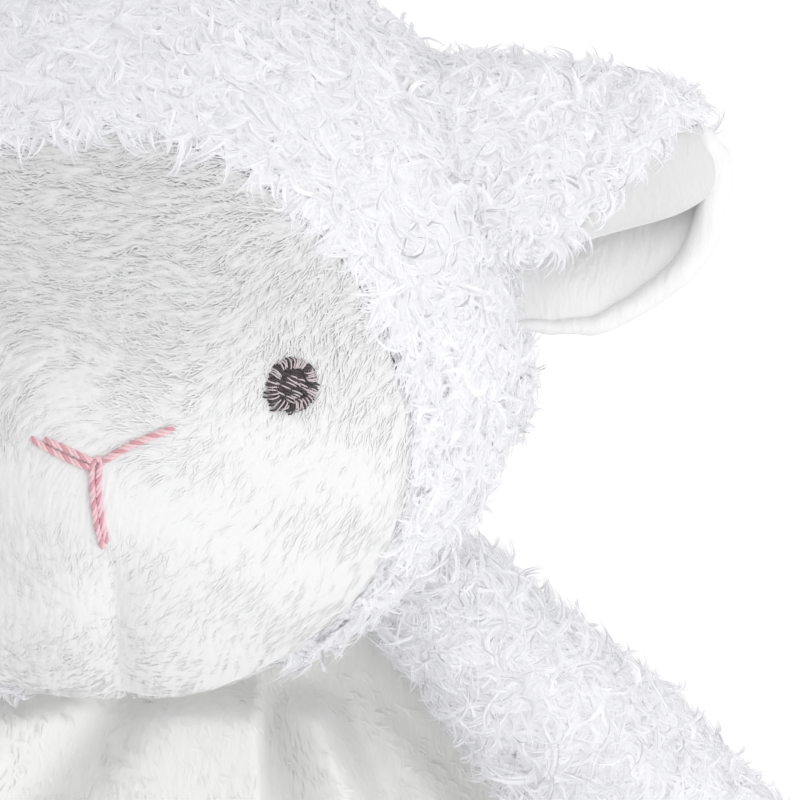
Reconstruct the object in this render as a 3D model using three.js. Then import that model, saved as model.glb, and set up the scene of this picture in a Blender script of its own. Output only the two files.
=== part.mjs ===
// Sheep comfort blanket lying on its back on a table, face up.
// Millimetres. +Z is up and is the way the face looks, +Y is the top of the head, +X is the viewer's right.
// The origin is on the table under the middle of the box round the whole object.
import * as THREE from 'three';
import { mergeVertices } from 'three/addons/utils/BufferGeometryUtils.js';

// Clearance between sewn pieces
const GAP = 0.3;

// Cloth thicknesses, pile included
const FUR_THICKNESS = 5.0;
const PLUSH_THICKNESS = 2.4;
const BACKING_THICKNESS = 1.0;
const EAR_FUR_THICKNESS = 4.2;
const EAR_LINING_THICKNESS = 2.0;
const SLEEVE_THICKNESS = 4.5;
const BLANKET_FRONT_THICKNESS = 2.0;
const BLANKET_BACK_THICKNESS = 1.5;

// Head stuffing, half sizes of the swelling ball, and how far the table presses the back of the head flat
const HEAD_HALF_WIDTH = 48.5;
const HEAD_HALF_HEIGHT = 44.5;
const HEAD_HALF_DEPTH = 34.5;
const HEAD_BACK_PRESS = 2.8;
const MUZZLE_SWELL = 8.5;
const MUZZLE_TILT_DEG = 28;
const MUZZLE_SPREAD_DEG = 40;
const DART_DEPTH = 1.8;
const DART_HALF_WIDTH = 4.0;
const DART_TOP_DEG = 14;
const DART_END_DEG = 74;
const DART_FADE_DEG = 15;

// Face panel, as angles from the axis through its middle
const FACE_TILT_DEG = 17;
const FACE_REACH_DEG = 62;
const FACE_LONGER_BELOW_DEG = 9;
const FACE_NARROWER_SIDE_DEG = 7;
const SEAM_THREAD_RADIUS = 0.5;

// Embroidery, its places given as shares of the half width and half height of the head
const EYE_X_SHARE = 0.497;
const EYE_Y_SHARE = -0.198;
const MOUTH_X_SHARE = 0.004;
const MOUTH_Y_SHARE = -0.427;
const NOSE_ARM_SHARE = 0.1856;
const EYE_HALF_WIDTH = 3.5;
const EYE_HALF_HEIGHT = 3.6;
const EYE_THICKNESS = 1.2;
const NOSE_ARM_RISE = 4.2;
const NOSE_ARM_SAG = 1.1;
const MOUTH_STEM = 10.2;
const STITCH_HALF_WIDTH = 0.75;
const STITCH_THICKNESS = 0.8;

// Ears, sewn to the side of the head along a straight line
const EAR_BEARING_DEG = 13;
const EAR_FORWARD_DEG = 4;
const EAR_LENGTH = 27.0;
const EAR_HALF_WIDTH = 18.0;
const EAR_TOP_ROLL = 5.0;
const EAR_LOW_ROLL = 5.0;
const EAR_TIP_LIFT = 4.0;
const EAR_START_EDGE = 0.4;
const EAR_SEAT_SINK = 0.65;
const EAR_FLAP_SHARE = 0.63;
const EAR_FLAP_THICKNESS = 4.0;
const EAR_FLAP_START = 0.26;
const EAR_FLAP_END = 0.97;

// Blanket, a square held by one corner
const BLANKET_SIDE = 250.0;
const BLANKET_CORNER_ROUND = 20.0;
const BLANKET_CORNER_Y = 2.0;
const FOLD_HEIGHT = 9.0;
const FOLD_START = 3.4;
const FOLD_RISE = 6.0;
const FOLD_RUN = 120.0;
const FOLD_EDGE_MARGIN = 12.0;
const FOLD_GROOVE_WIDTH = 3.0;
const FOLD_GROOVE_SPREAD = 0.08;
const FOLD_LINES = [
  { neckShare: -0.55, turnDeg: -46 },
  { neckShare: 0.10, turnDeg: -42 },
  { neckShare: 0.51, turnDeg: 3 },
  { neckShare: 0.70, turnDeg: 25 },
];

// Neck roll and the thread that gathers the blanket's corner
const COLLAR_RADIUS = 4.2;
const COLLAR_HALF_LENGTH = 25.0;
const GATHER_THREAD_RADIUS = 0.5;

// Arms, lying along the two upper edges of the blanket
const ARM_BEARING_DEG = -45;
const ARM_SHOULDER_OUT = 57.4;
const ARM_SHOULDER_TURN_DEG = -41.5;
const ARM_LENGTH = 72.0;
const ARM_SHOULDER_RADIUS = 10.0;
const ARM_HALF_WIDTH = 13.3;
const ARM_HALF_HEIGHT = 11.8;
const ARM_SWELL_RUN = 34.0;
const ARM_RIM_BACK = 3.0;

// Colours read from the photo
const FUR_COLOUR = '#eeeef3';
const FACE_COLOUR = '#f3f4f2';
const LINING_COLOUR = '#f4f4f2';
const BLANKET_COLOUR = '#f0f0ec';
const STUFFING_COLOUR = '#fafafa';
const BACKING_COLOUR = '#f2f0ec';
const EYE_COLOUR = '#4a4649';
const MOUTH_COLOUR = '#e496a0';
const THREAD_COLOUR = '#f0f0f0';

// Numbers of facets
const FACE_AROUND = 32;
const FACE_RINGS = 6;
const FUR_RINGS = 9;
const SEAM_STEPS = 40;
const THREAD_SIDES = 5;
const EYE_AROUND = 16;
const STITCH_STEPS = 7;
const EAR_ACROSS = 10;
const EAR_STEPS = 8;
const BLANKET_ACROSS = 22;
const BLANKET_DOWN = 15;
const COLLAR_STEPS = 12;
const COLLAR_SIDES = 14;
const ARM_AROUND = 16;
const ARM_STEPS = 10;

// Values that follow from the sizes above
const RIGHT_ANGLE = Math.PI / 2;
const radians = THREE.MathUtils.degToRad;
const lerp = THREE.MathUtils.lerp;
const smoothstep = THREE.MathUtils.smoothstep;
const FUR_OUTSIDE = GAP + FUR_THICKNESS;
const BACKING_OUTSIDE = GAP + BACKING_THICKNESS;
const FACE_INSIDE = BACKING_OUTSIDE + GAP;
const FACE_OUTSIDE = FACE_INSIDE + PLUSH_THICKNESS;
const HEAD_Z = HEAD_HALF_DEPTH + FUR_OUTSIDE - HEAD_BACK_PRESS;
const BLANKET_TOP = BLANKET_BACK_THICKNESS + GAP + BLANKET_FRONT_THICKNESS;
const FACE_AXIS = new THREE.Vector3(0, -Math.sin(radians(FACE_TILT_DEG)), Math.cos(radians(FACE_TILT_DEG)));
const FACE_UP = new THREE.Vector3(0, Math.cos(radians(FACE_TILT_DEG)), Math.sin(radians(FACE_TILT_DEG)));
const FACE_SIDEWAYS = new THREE.Vector3(1, 0, 0);
const MUZZLE_TILT = radians(MUZZLE_TILT_DEG);
const MUZZLE_AXIS = new THREE.Vector3(0, -Math.sin(MUZZLE_TILT), Math.cos(MUZZLE_TILT));

// A closed solid from points and triangles, turned so that its faces look outwards
function closedGeometry(points, triangles) {
  const soup = new THREE.BufferGeometry();
  const numbers = points.flatMap((p) => [p.x, p.y, p.z]);
  soup.setAttribute('position', new THREE.Float32BufferAttribute(numbers, 3));
  soup.setIndex(triangles.flat());
  const merged = mergeVertices(soup, 1e-4);
  const index = merged.getIndex().array;
  const position = merged.getAttribute('position');
  const kept = [];
  let volume = 0;
  const corner = [new THREE.Vector3(), new THREE.Vector3(), new THREE.Vector3()];
  for (let i = 0; i < index.length; i += 3) {
    const face = [index[i], index[i + 1], index[i + 2]];
    if (face[0] === face[1] || face[1] === face[2] || face[2] === face[0]) {
      continue;
    }
    face.forEach((vertex, k) => corner[k].fromBufferAttribute(position, vertex));
    volume += corner[0].dot(corner[1].clone().cross(corner[2]));
    kept.push(face);
  }
  const outward = volume > 0 ? kept : kept.map((face) => [face[0], face[2], face[1]]);
  merged.setIndex(outward.flat());
  merged.computeVertexNormals();
  return merged;
}

// A solid skinned over closed rings of points. The rings either meet end to end or close in caps.
function solidFromRings(rings, meetEnds) {
  const around = rings[0].length;
  const points = rings.flat();
  const triangles = [];
  const bands = meetEnds ? rings.length : rings.length - 1;
  for (let j = 0; j < bands; j += 1) {
    const here = j * around;
    const there = ((j + 1) % rings.length) * around;
    for (let i = 0; i < around; i += 1) {
      const next = (i + 1) % around;
      triangles.push([here + i, here + next, there + next], [here + i, there + next, there + i]);
    }
  }
  if (!meetEnds) {
    const ends = [{ ring: 0, turned: true }, { ring: rings.length - 1, turned: false }];
    for (const end of ends) {
      const middle = points.length;
      const sum = rings[end.ring].reduce((total, p) => total.add(p), new THREE.Vector3());
      points.push(sum.divideScalar(around));
      for (let i = 0; i < around; i += 1) {
        const pair = [end.ring * around + i, end.ring * around + ((i + 1) % around)];
        triangles.push(end.turned ? [middle, pair[1], pair[0]] : [middle, pair[0], pair[1]]);
      }
    }
  }
  return closedGeometry(points, triangles);
}

// A slab of cloth between two grids of points with the same rows and columns.
// A round slab has no side walls.
function slabFromGrids(upper, lower, round = false) {
  const rows = upper.length;
  const columns = upper[0].length;
  const points = [...upper.flat(), ...lower.flat()];
  const under = rows * columns;
  const triangles = [];
  const quad = (a, b, c, d) => triangles.push([a, b, c], [a, c, d]);
  for (let j = 0; j < rows - 1; j += 1) {
    for (let i = 0; i < columns - 1; i += 1) {
      const a = j * columns + i;
      const b = a + 1;
      const c = b + columns;
      const d = a + columns;
      quad(a, b, c, d);
      triangles.push([under + a, under + c, under + b], [under + a, under + d, under + c]);
    }
  }
  for (let i = 0; i < columns - 1; i += 1) {
    const last = (rows - 1) * columns;
    quad(i, under + i, under + i + 1, i + 1);
    quad(last + i + 1, under + last + i + 1, under + last + i, last + i);
  }
  for (let j = 0; j < rows - 1 && !round; j += 1) {
    const left = j * columns;
    const right = left + columns - 1;
    quad(left + columns, under + left + columns, under + left, left);
    quad(right, under + right, under + right + columns, right + columns);
  }
  return closedGeometry(points, triangles);
}

// The same solid on the other side of the middle plane
function mirrored(geometry) {
  const copy = geometry.clone();
  copy.scale(-1, 1, 1);
  const turned = Array.from(copy.getIndex().array);
  for (let i = 0; i < turned.length; i += 3) {
    [turned[i + 1], turned[i + 2]] = [turned[i + 2], turned[i + 1]];
  }
  copy.setIndex(turned);
  copy.computeVertexNormals();
  return copy;
}

function cloth(name, geometry, colour, roughness) {
  const material = new THREE.MeshStandardMaterial({ color: colour, roughness, metalness: 0 });
  const mesh = new THREE.Mesh(geometry, material);
  mesh.name = name;
  return mesh;
}

function steps(count, at) {
  return Array.from({ length: count + 1 }, (_, i) => at(i / count));
}

function turnsAround(count, at) {
  return Array.from({ length: count }, (_, i) => at((i / count) * 2 * Math.PI));
}

// Head surface: a swelling ball with a muzzle, a dart down to the chin and a back pressed flat by the table
function headRadius(direction, offset) {
  const ball = 1 / Math.hypot(
    direction.x / HEAD_HALF_WIDTH,
    direction.y / HEAD_HALF_HEIGHT,
    direction.z / HEAD_HALF_DEPTH,
  );
  const fromMuzzle = direction.angleTo(MUZZLE_AXIS) / radians(MUZZLE_SPREAD_DEG);
  const swell = MUZZLE_SWELL * Math.exp(-(fromMuzzle ** 2));
  const below = THREE.MathUtils.radToDeg(Math.atan2(-direction.dot(FACE_UP), direction.dot(FACE_AXIS)));
  const dartStart = smoothstep(below, DART_TOP_DEG, DART_TOP_DEG + DART_FADE_DEG);
  const dartEnd = 1 - smoothstep(below, DART_END_DEG - DART_FADE_DEG, DART_END_DEG);
  const sideways = (direction.x * ball) / DART_HALF_WIDTH;
  const dart = DART_DEPTH * dartStart * dartEnd * Math.exp(-(sideways ** 2));
  const radius = ball + swell - dart + offset;
  if (direction.z >= 0) {
    return radius;
  }
  return Math.min(radius, (HEAD_Z - FUR_OUTSIDE + offset) / -direction.z);
}

function headPoint(direction, offset) {
  return direction.clone().multiplyScalar(headRadius(direction, offset));
}

// A direction from the middle of the head, by its angle from the face axis and its turn round that axis
function faceDirection(fromAxis, turn) {
  const across = FACE_SIDEWAYS.clone().multiplyScalar(Math.cos(turn));
  across.addScaledVector(FACE_UP, Math.sin(turn));
  return FACE_AXIS.clone().multiplyScalar(Math.cos(fromAxis)).addScaledVector(across, Math.sin(fromAxis));
}

// Angle from the face axis to the middle of the face seam
function seamAngle(turn) {
  const longer = FACE_LONGER_BELOW_DEG * Math.sin(turn);
  const narrower = FACE_NARROWER_SIDE_DEG * Math.cos(turn) ** 2;
  return radians(FACE_REACH_DEG - longer - narrower);
}

// Half the angle that the seam thread and its clearances take up
function seamHalfAngle(turn) {
  const radius = headRadius(faceDirection(seamAngle(turn), turn), 0);
  return (SEAM_THREAD_RADIUS + GAP) / radius;
}

// The direction in which the face stands over a place seen from the front
function directionOver(x, y) {
  let low = 0;
  let high = 2 * (HEAD_HALF_DEPTH + MUZZLE_SWELL);
  for (let i = 0; i < 40; i += 1) {
    const middle = (low + high) / 2;
    const trial = new THREE.Vector3(x, y, middle);
    const inside = trial.length() < headRadius(trial.clone().normalize(), FACE_OUTSIDE);
    low = inside ? middle : low;
    high = inside ? high : middle;
  }
  return new THREE.Vector3(x, y, low).normalize();
}

// Every layer of the head uses these rings, so that facets of neighbouring layers run parallel
function faceAngle(t, turn) {
  return t * (seamAngle(turn) - seamHalfAngle(turn));
}

function furAngle(t, turn) {
  return lerp(seamAngle(turn) + seamHalfAngle(turn), Math.PI, t);
}

function headStuffing() {
  const place = (angleAt, turn) => headPoint(faceDirection(angleAt(turn), turn), 0);
  const ring = (angleAt) => turnsAround(FACE_AROUND, (turn) => place(angleAt, turn));
  const front = steps(FACE_RINGS, (t) => ring((turn) => faceAngle(t, turn)));
  const back = steps(FUR_RINGS, (t) => ring((turn) => furAngle(t, turn)));
  return solidFromRings([...front, ...back], false);
}

// A round cloth on the face, from its middle to the seam
function faceDisc(innerOffset, outerOffset) {
  const sheet = (offset) => steps(FACE_RINGS, (t) => steps(FACE_AROUND, (s) => {
    const turn = s * 2 * Math.PI;
    return headPoint(faceDirection(faceAngle(t, turn), turn), offset);
  }));
  return slabFromGrids(sheet(outerOffset), sheet(innerOffset), true);
}

// One half of the fur cloth, from the face seam to the middle of the back
function furHalf() {
  const sheet = (offset) => steps(FUR_RINGS, (t) => steps(FACE_AROUND / 2, (s) => {
    const turn = lerp(-RIGHT_ANGLE, RIGHT_ANGLE, s);
    const point = headPoint(faceDirection(furAngle(t, turn), turn), offset);
    point.x = Math.max(point.x, GAP / 2);
    return point;
  }));
  return slabFromGrids(sheet(FUR_OUTSIDE), sheet(GAP));
}

function seamThread() {
  const offset = FACE_OUTSIDE - SEAM_THREAD_RADIUS;
  const at = (turn) => headPoint(faceDirection(seamAngle(turn), turn), offset);
  const rings = turnsAround(SEAM_STEPS, (turn) => {
    const middle = at(turn);
    const outward = middle.clone().normalize();
    const along = at(turn + 0.01).sub(middle).normalize();
    const across = along.clone().cross(outward).normalize();
    return turnsAround(THREAD_SIDES, (angle) => middle.clone()
      .addScaledVector(outward, SEAM_THREAD_RADIUS * Math.sin(angle))
      .addScaledVector(across, SEAM_THREAD_RADIUS * Math.cos(angle)));
  });
  return solidFromRings(rings, true);
}

// An embroidered oval, domed over the face
function eyePad() {
  const levels = [
    { out: 0, lift: 1 },
    { out: 0.55, lift: 0.95 },
    { out: 0.88, lift: 0.7 },
    { out: 1, lift: 0.25 },
    { out: 1, lift: 0 },
    { out: 0.5, lift: 0 },
    { out: 0, lift: 0 },
  ];
  const rings = levels.map((level) => turnsAround(EYE_AROUND, (angle) => {
    const x = HEAD_HALF_WIDTH * EYE_X_SHARE + EYE_HALF_WIDTH * level.out * Math.cos(angle);
    const y = HEAD_HALF_HEIGHT * EYE_Y_SHARE + EYE_HALF_HEIGHT * level.out * Math.sin(angle);
    return headPoint(directionOver(x, y), FACE_OUTSIDE + GAP + EYE_THICKNESS * level.lift);
  }));
  return solidFromRings(rings, false);
}

// A raised line of stitches along a path on the face
function stitchLine(path) {
  const profile = [
    { side: -1, lift: 0 },
    { side: -0.75, lift: 0.75 },
    { side: 0, lift: 1 },
    { side: 0.75, lift: 0.75 },
    { side: 1, lift: 0 },
  ];
  const rings = steps(STITCH_STEPS, (t) => {
    const here = path(t);
    const ahead = path(t + 0.01);
    const along = new THREE.Vector2(ahead.x - here.x, ahead.y - here.y).normalize();
    return profile.map((place) => {
      const x = here.x - along.y * STITCH_HALF_WIDTH * place.side;
      const y = here.y + along.x * STITCH_HALF_WIDTH * place.side;
      return headPoint(directionOver(x, y), FACE_OUTSIDE + GAP + STITCH_THICKNESS * place.lift);
    });
  });
  return solidFromRings(rings, false);
}

// The two arms of the Y start beside its stem, clear of it by the sewing clearance
const ARM_START = STITCH_HALF_WIDTH + GAP;
const MOUTH_X = HEAD_HALF_WIDTH * MOUTH_X_SHARE;
const MOUTH_TOP_Y = HEAD_HALF_HEIGHT * MOUTH_Y_SHARE + STITCH_HALF_WIDTH;

function noseArm(side) {
  return stitchLine((t) => ({
    x: MOUTH_X + side * lerp(ARM_START, HEAD_HALF_WIDTH * NOSE_ARM_SHARE, t),
    y: MOUTH_TOP_Y + NOSE_ARM_RISE * t - NOSE_ARM_SAG * Math.sin(Math.PI * t),
  }));
}

function mouthStem() {
  return stitchLine((t) => ({
    x: MOUTH_X,
    y: MOUTH_TOP_Y - (MOUTH_STEM + STITCH_HALF_WIDTH) * t,
  }));
}

// Ear frame: the sewn line is the hinge line, and the ear reaches outwards from it.
// The facets of the head lie a little inside its true curve, so the ear is set in by that much.
const EAR_ROOT_RADIUS = (EAR_FUR_THICKNESS + GAP + EAR_LINING_THICKNESS) / 2;
const EAR_MIDDLE = (EAR_FUR_THICKNESS - EAR_LINING_THICKNESS) / 2;
const EAR_DIRECTION = new THREE.Vector3(
  Math.cos(radians(EAR_BEARING_DEG)) * Math.cos(radians(EAR_FORWARD_DEG)),
  Math.sin(radians(EAR_BEARING_DEG)) * Math.cos(radians(EAR_FORWARD_DEG)),
  Math.sin(radians(EAR_FORWARD_DEG)),
);
const EAR_SEAT = headPoint(EAR_DIRECTION, FUR_OUTSIDE);
const EAR_OUT = new THREE.Vector3(
  EAR_SEAT.x / (HEAD_HALF_WIDTH + FUR_OUTSIDE) ** 2,
  EAR_SEAT.y / (HEAD_HALF_HEIGHT + FUR_OUTSIDE) ** 2,
  0,
).normalize();
const EAR_ALONG = new THREE.Vector3(-EAR_OUT.y, EAR_OUT.x, 0);
const EAR_HINGE = EAR_SEAT.clone().addScaledVector(EAR_OUT, EAR_ROOT_RADIUS + GAP - EAR_SEAT_SINK);

function earHalfWidth(out) {
  return EAR_HALF_WIDTH * Math.sqrt(Math.max(0, 1 - (out / EAR_LENGTH) ** 2.2));
}

// Height of the curve where the two cloths of the ear meet
function earCup(out, across) {
  const cupped = smoothstep(out, 0, 0.5 * EAR_LENGTH);
  const roll = across > 0 ? EAR_TOP_ROLL : EAR_LOW_ROLL;
  const sideways = (across * earHalfWidth(Math.max(out, 0))) / EAR_HALF_WIDTH;
  const tip = EAR_TIP_LIFT * smoothstep(out, 0.5 * EAR_LENGTH, EAR_LENGTH);
  return EAR_MIDDLE + cupped * roll * sideways ** 2 + tip;
}

// One cloth of the ear, kept inside the round root so that it turns on the sewn line
function earCloth(bottomOf, topOf, start) {
  const outs = [start, start * 0.6, 0, ...steps(EAR_STEPS - 1, (t) => EAR_LENGTH * lerp(0.1, 1, t))];
  const sheet = (heightOf) => outs.map((out) => steps(EAR_ACROSS, (s) => {
    const across = lerp(-1, 1, s);
    const root = out < 0 ? Math.sqrt(EAR_ROOT_RADIUS ** 2 - out ** 2) : Infinity;
    const height = Math.min(Math.max(heightOf(earCup(out, across)), -root), root);
    return EAR_HINGE.clone()
      .addScaledVector(EAR_OUT, out)
      .addScaledVector(EAR_ALONG, across * earHalfWidth(Math.max(out, 0)))
      .add(new THREE.Vector3(0, 0, height));
  }));
  return slabFromGrids(sheet(topOf), sheet(bottomOf));
}

function earFur() {
  const start = -0.98 * EAR_ROOT_RADIUS;
  return earCloth((cup) => cup - GAP / 2 - EAR_FUR_THICKNESS, (cup) => cup - GAP / 2, start);
}

function earLining() {
  const start = -Math.sqrt(EAR_ROOT_RADIUS ** 2 - (EAR_MIDDLE + GAP / 2 + EAR_START_EDGE) ** 2);
  return earCloth((cup) => cup + GAP / 2, (cup) => cup + GAP / 2 + EAR_LINING_THICKNESS, start);
}

// The upper part of the ear, folded forward: it lies on the lining at the fold and stands free below it
function earFlap() {
  const sheet = (lift) => steps(EAR_STEPS, (t) => steps(EAR_ACROSS, (s) => {
    const out = EAR_LENGTH * lerp(EAR_FLAP_START, EAR_FLAP_END, t);
    const across = 1 - 2 * EAR_FLAP_SHARE * s;
    return EAR_HINGE.clone()
      .addScaledVector(EAR_OUT, out)
      .addScaledVector(EAR_ALONG, across * earHalfWidth(out))
      .add(new THREE.Vector3(0, 0, earCup(out, 1) + GAP / 2 + EAR_LINING_THICKNESS + GAP + lift));
  }));
  return slabFromGrids(sheet(0), sheet(EAR_FLAP_THICKNESS));
}

// Neck roll: its middle line is the head's hinge, one clearance off the blanket and off the head
const COLLAR_Z = BLANKET_TOP + GAP + COLLAR_RADIUS;

function distanceToHead(y) {
  const distances = steps(180, (t) => {
    const angle = lerp(RIGHT_ANGLE, 2 * RIGHT_ANGLE, t);
    const point = headPoint(new THREE.Vector3(0, -Math.sin(angle), Math.cos(angle)), FUR_OUTSIDE);
    return Math.hypot(point.y - y, point.z + HEAD_Z - COLLAR_Z);
  });
  return Math.min(...distances);
}

function findCollarY() {
  let near = -0.6 * HEAD_HALF_HEIGHT;
  let far = -2 * HEAD_HALF_HEIGHT;
  for (let i = 0; i < 40; i += 1) {
    const middle = (near + far) / 2;
    const clear = distanceToHead(middle) > COLLAR_RADIUS + GAP;
    near = clear ? near : middle;
    far = clear ? middle : far;
  }
  return far;
}

const COLLAR_Y = findCollarY();

function neckCollar() {
  const rings = steps(COLLAR_STEPS, (t) => {
    const along = -Math.cos(t * Math.PI);
    const radius = COLLAR_RADIUS * Math.max(0, 1 - along ** 8) ** 0.5;
    return turnsAround(COLLAR_SIDES, (angle) => new THREE.Vector3(
      COLLAR_HALF_LENGTH * along,
      COLLAR_Y + radius * Math.sin(angle),
      COLLAR_Z + radius * Math.cos(angle),
    ));
  });
  return solidFromRings(rings, false);
}

function gatheringThread() {
  const y = COLLAR_Y - COLLAR_RADIUS - GAP - GATHER_THREAD_RADIUS;
  const z = BLANKET_TOP + GAP + GATHER_THREAD_RADIUS;
  const ring = (x) => turnsAround(THREAD_SIDES, (angle) => new THREE.Vector3(
    x,
    y + GATHER_THREAD_RADIUS * Math.sin(angle),
    z + GATHER_THREAD_RADIUS * Math.cos(angle),
  ));
  return solidFromRings([ring(-COLLAR_HALF_LENGTH), ring(COLLAR_HALF_LENGTH)], false);
}

// Blanket outline: the upper edges run from the neck to the side corners
const HALF_DIAGONAL = BLANKET_SIDE / Math.SQRT2;
const NECK_EDGE_Y = COLLAR_Y + COLLAR_RADIUS;
const NECK_HALF_WIDTH = BLANKET_CORNER_Y - NECK_EDGE_Y;
const CORNER_CUT = BLANKET_CORNER_ROUND * (Math.SQRT2 - 1);

function lowerEdge(s) {
  const side = 2 * s - 1;
  const round = (distance) => Math.hypot(distance, CORNER_CUT);
  const x = side * (HALF_DIAGONAL - CORNER_CUT);
  return new THREE.Vector2(x, BLANKET_CORNER_Y - 2 * HALF_DIAGONAL + round(x));
}

// Height of the blanket over the table: a puffed area under the chin.
// Grooves that spread from the neck cut it into folds.
function foldHeight(x, y) {
  const down = COLLAR_Y - COLLAR_RADIUS - y;
  const rise = smoothstep(down, FOLD_START, FOLD_START + FOLD_RISE);
  const fall = 1 - smoothstep(down, FOLD_START + FOLD_RISE, FOLD_START + FOLD_RISE + FOLD_RUN);
  const fromEdge = (BLANKET_CORNER_Y - Math.abs(x) - y) / Math.SQRT2;
  const inside = smoothstep(fromEdge, FOLD_EDGE_MARGIN, 2 * FOLD_EDGE_MARGIN);
  const grooves = FOLD_LINES.map((line) => {
    const turn = radians(line.turnDeg);
    const offX = x - NECK_HALF_WIDTH * line.neckShare;
    const along = offX * Math.sin(turn) + down * Math.cos(turn);
    const across = offX * Math.cos(turn) - down * Math.sin(turn);
    const width = FOLD_GROOVE_WIDTH + FOLD_GROOVE_SPREAD * Math.max(0, along);
    return Math.exp(-((across / width) ** 2));
  });
  return FOLD_HEIGHT * rise * fall * inside * (1 - Math.max(...grooves));
}

const FRONT_BOTTOM = BLANKET_BACK_THICKNESS + GAP;

// Rows of the blanket as shares of the way from the neck to the lower edges.
// One of them runs where the folds start.
const FOLD_SHARE = (2 * COLLAR_RADIUS + FOLD_START) / (NECK_EDGE_Y - lowerEdge(0.5).y);
const BLANKET_ROWS = [
  0,
  0.6 * FOLD_SHARE,
  FOLD_SHARE,
  ...steps(BLANKET_DOWN - 3, (t) => lerp(1.35 * FOLD_SHARE, 1, t ** 1.6)),
];

function blanketLayer(bottom, thickness) {
  const sheet = (lift) => BLANKET_ROWS.map((down) => steps(BLANKET_ACROSS, (s) => {
    const edge = lowerEdge(s);
    const x = lerp(NECK_HALF_WIDTH * (2 * s - 1), edge.x, down);
    const y = lerp(NECK_EDGE_Y, edge.y, down);
    return new THREE.Vector3(x, y, foldHeight(x, y) + lift);
  }));
  return slabFromGrids(sheet(bottom + thickness), sheet(bottom));
}

// Arms: the shoulder is round about its hinge, the arm swells towards the paw and lies flat on the blanket
const ARM_FLOOR = BLANKET_TOP + GAP;
const SHOULDER = new THREE.Vector3(
  ARM_SHOULDER_OUT * Math.cos(radians(ARM_SHOULDER_TURN_DEG)),
  ARM_SHOULDER_OUT * Math.sin(radians(ARM_SHOULDER_TURN_DEG)),
  ARM_FLOOR + ARM_HALF_HEIGHT - 0.8,
);
const ARM_BEARING = radians(ARM_BEARING_DEG);
const ARM_AXIS = new THREE.Vector3(Math.cos(ARM_BEARING), Math.sin(ARM_BEARING), 0);
const ARM_SIDE = new THREE.Vector3(-ARM_AXIS.y, ARM_AXIS.x, 0);

function armSize(along, full, inset) {
  const shoulder = ARM_SHOULDER_RADIUS - inset;
  if (along <= 0) {
    return Math.sqrt(Math.max(0, shoulder ** 2 - along ** 2));
  }
  const swollen = lerp(shoulder, full - inset, smoothstep(along, 0, ARM_SWELL_RUN));
  const paw = full - inset;
  const past = Math.max(0, (along - (ARM_LENGTH - inset - paw)) / paw);
  return swollen * Math.sqrt(Math.max(0, 1 - past ** 2));
}

function armRing(along, inset) {
  const floor = ARM_FLOOR + inset;
  return turnsAround(ARM_AROUND, (angle) => {
    const point = SHOULDER.clone().addScaledVector(ARM_AXIS, along);
    point.addScaledVector(ARM_SIDE, armSize(along, ARM_HALF_WIDTH, inset) * Math.cos(angle));
    point.z += armSize(along, ARM_HALF_HEIGHT, inset) * Math.sin(angle);
    point.z = Math.max(point.z, floor);
    return point;
  });
}

// Places along the arm, closer together where the paw rounds off
function armPlaces(start, inset) {
  return steps(ARM_STEPS, (t) => lerp(start, ARM_LENGTH - inset, Math.sin(t * RIGHT_ANGLE)));
}

function armSleeve() {
  const outer = armPlaces(-ARM_RIM_BACK, 0).map((along) => armRing(along, 0));
  const inner = armPlaces(-ARM_RIM_BACK, SLEEVE_THICKNESS).map((along) => armRing(along, SLEEVE_THICKNESS));
  return solidFromRings([...outer, ...inner.reverse()], true);
}

function armStuffing() {
  const inset = SLEEVE_THICKNESS + GAP;
  const places = [-(ARM_SHOULDER_RADIUS - inset), ...armPlaces(-ARM_RIM_BACK, inset)];
  return solidFromRings(places.map((along) => armRing(along, inset)), false);
}

// Assembly
const head = new THREE.Group();
head.position.z = HEAD_Z;
const furRight = furHalf();
const eyeRight = eyePad();
const earFurRight = earFur();
const earLiningRight = earLining();
const earFlapRight = earFlap();
head.add(
  cloth('head_stuffing', headStuffing(), STUFFING_COLOUR, 0.95),
  cloth('face_backing', faceDisc(GAP, BACKING_OUTSIDE), BACKING_COLOUR, 0.9),
  cloth('face_panel', faceDisc(FACE_INSIDE, FACE_OUTSIDE), FACE_COLOUR, 0.9),
  cloth('head_fur_right', furRight, FUR_COLOUR, 0.95),
  cloth('head_fur_left', mirrored(furRight), FUR_COLOUR, 0.95),
  cloth('face_seam_thread', seamThread(), THREAD_COLOUR, 0.7),
  cloth('eye_right', eyeRight, EYE_COLOUR, 0.55),
  cloth('eye_left', mirrored(eyeRight), EYE_COLOUR, 0.55),
  cloth('nose_stitch_right', noseArm(1), MOUTH_COLOUR, 0.55),
  cloth('nose_stitch_left', noseArm(-1), MOUTH_COLOUR, 0.55),
  cloth('mouth_stitch', mouthStem(), MOUTH_COLOUR, 0.55),
  cloth('ear_right_fur', earFurRight, FUR_COLOUR, 0.95),
  cloth('ear_left_fur', mirrored(earFurRight), FUR_COLOUR, 0.95),
  cloth('ear_right_lining', earLiningRight, LINING_COLOUR, 0.9),
  cloth('ear_left_lining', mirrored(earLiningRight), LINING_COLOUR, 0.9),
  cloth('ear_right_flap', earFlapRight, FUR_COLOUR, 0.95),
  cloth('ear_left_flap', mirrored(earFlapRight), FUR_COLOUR, 0.95),
);

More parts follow.
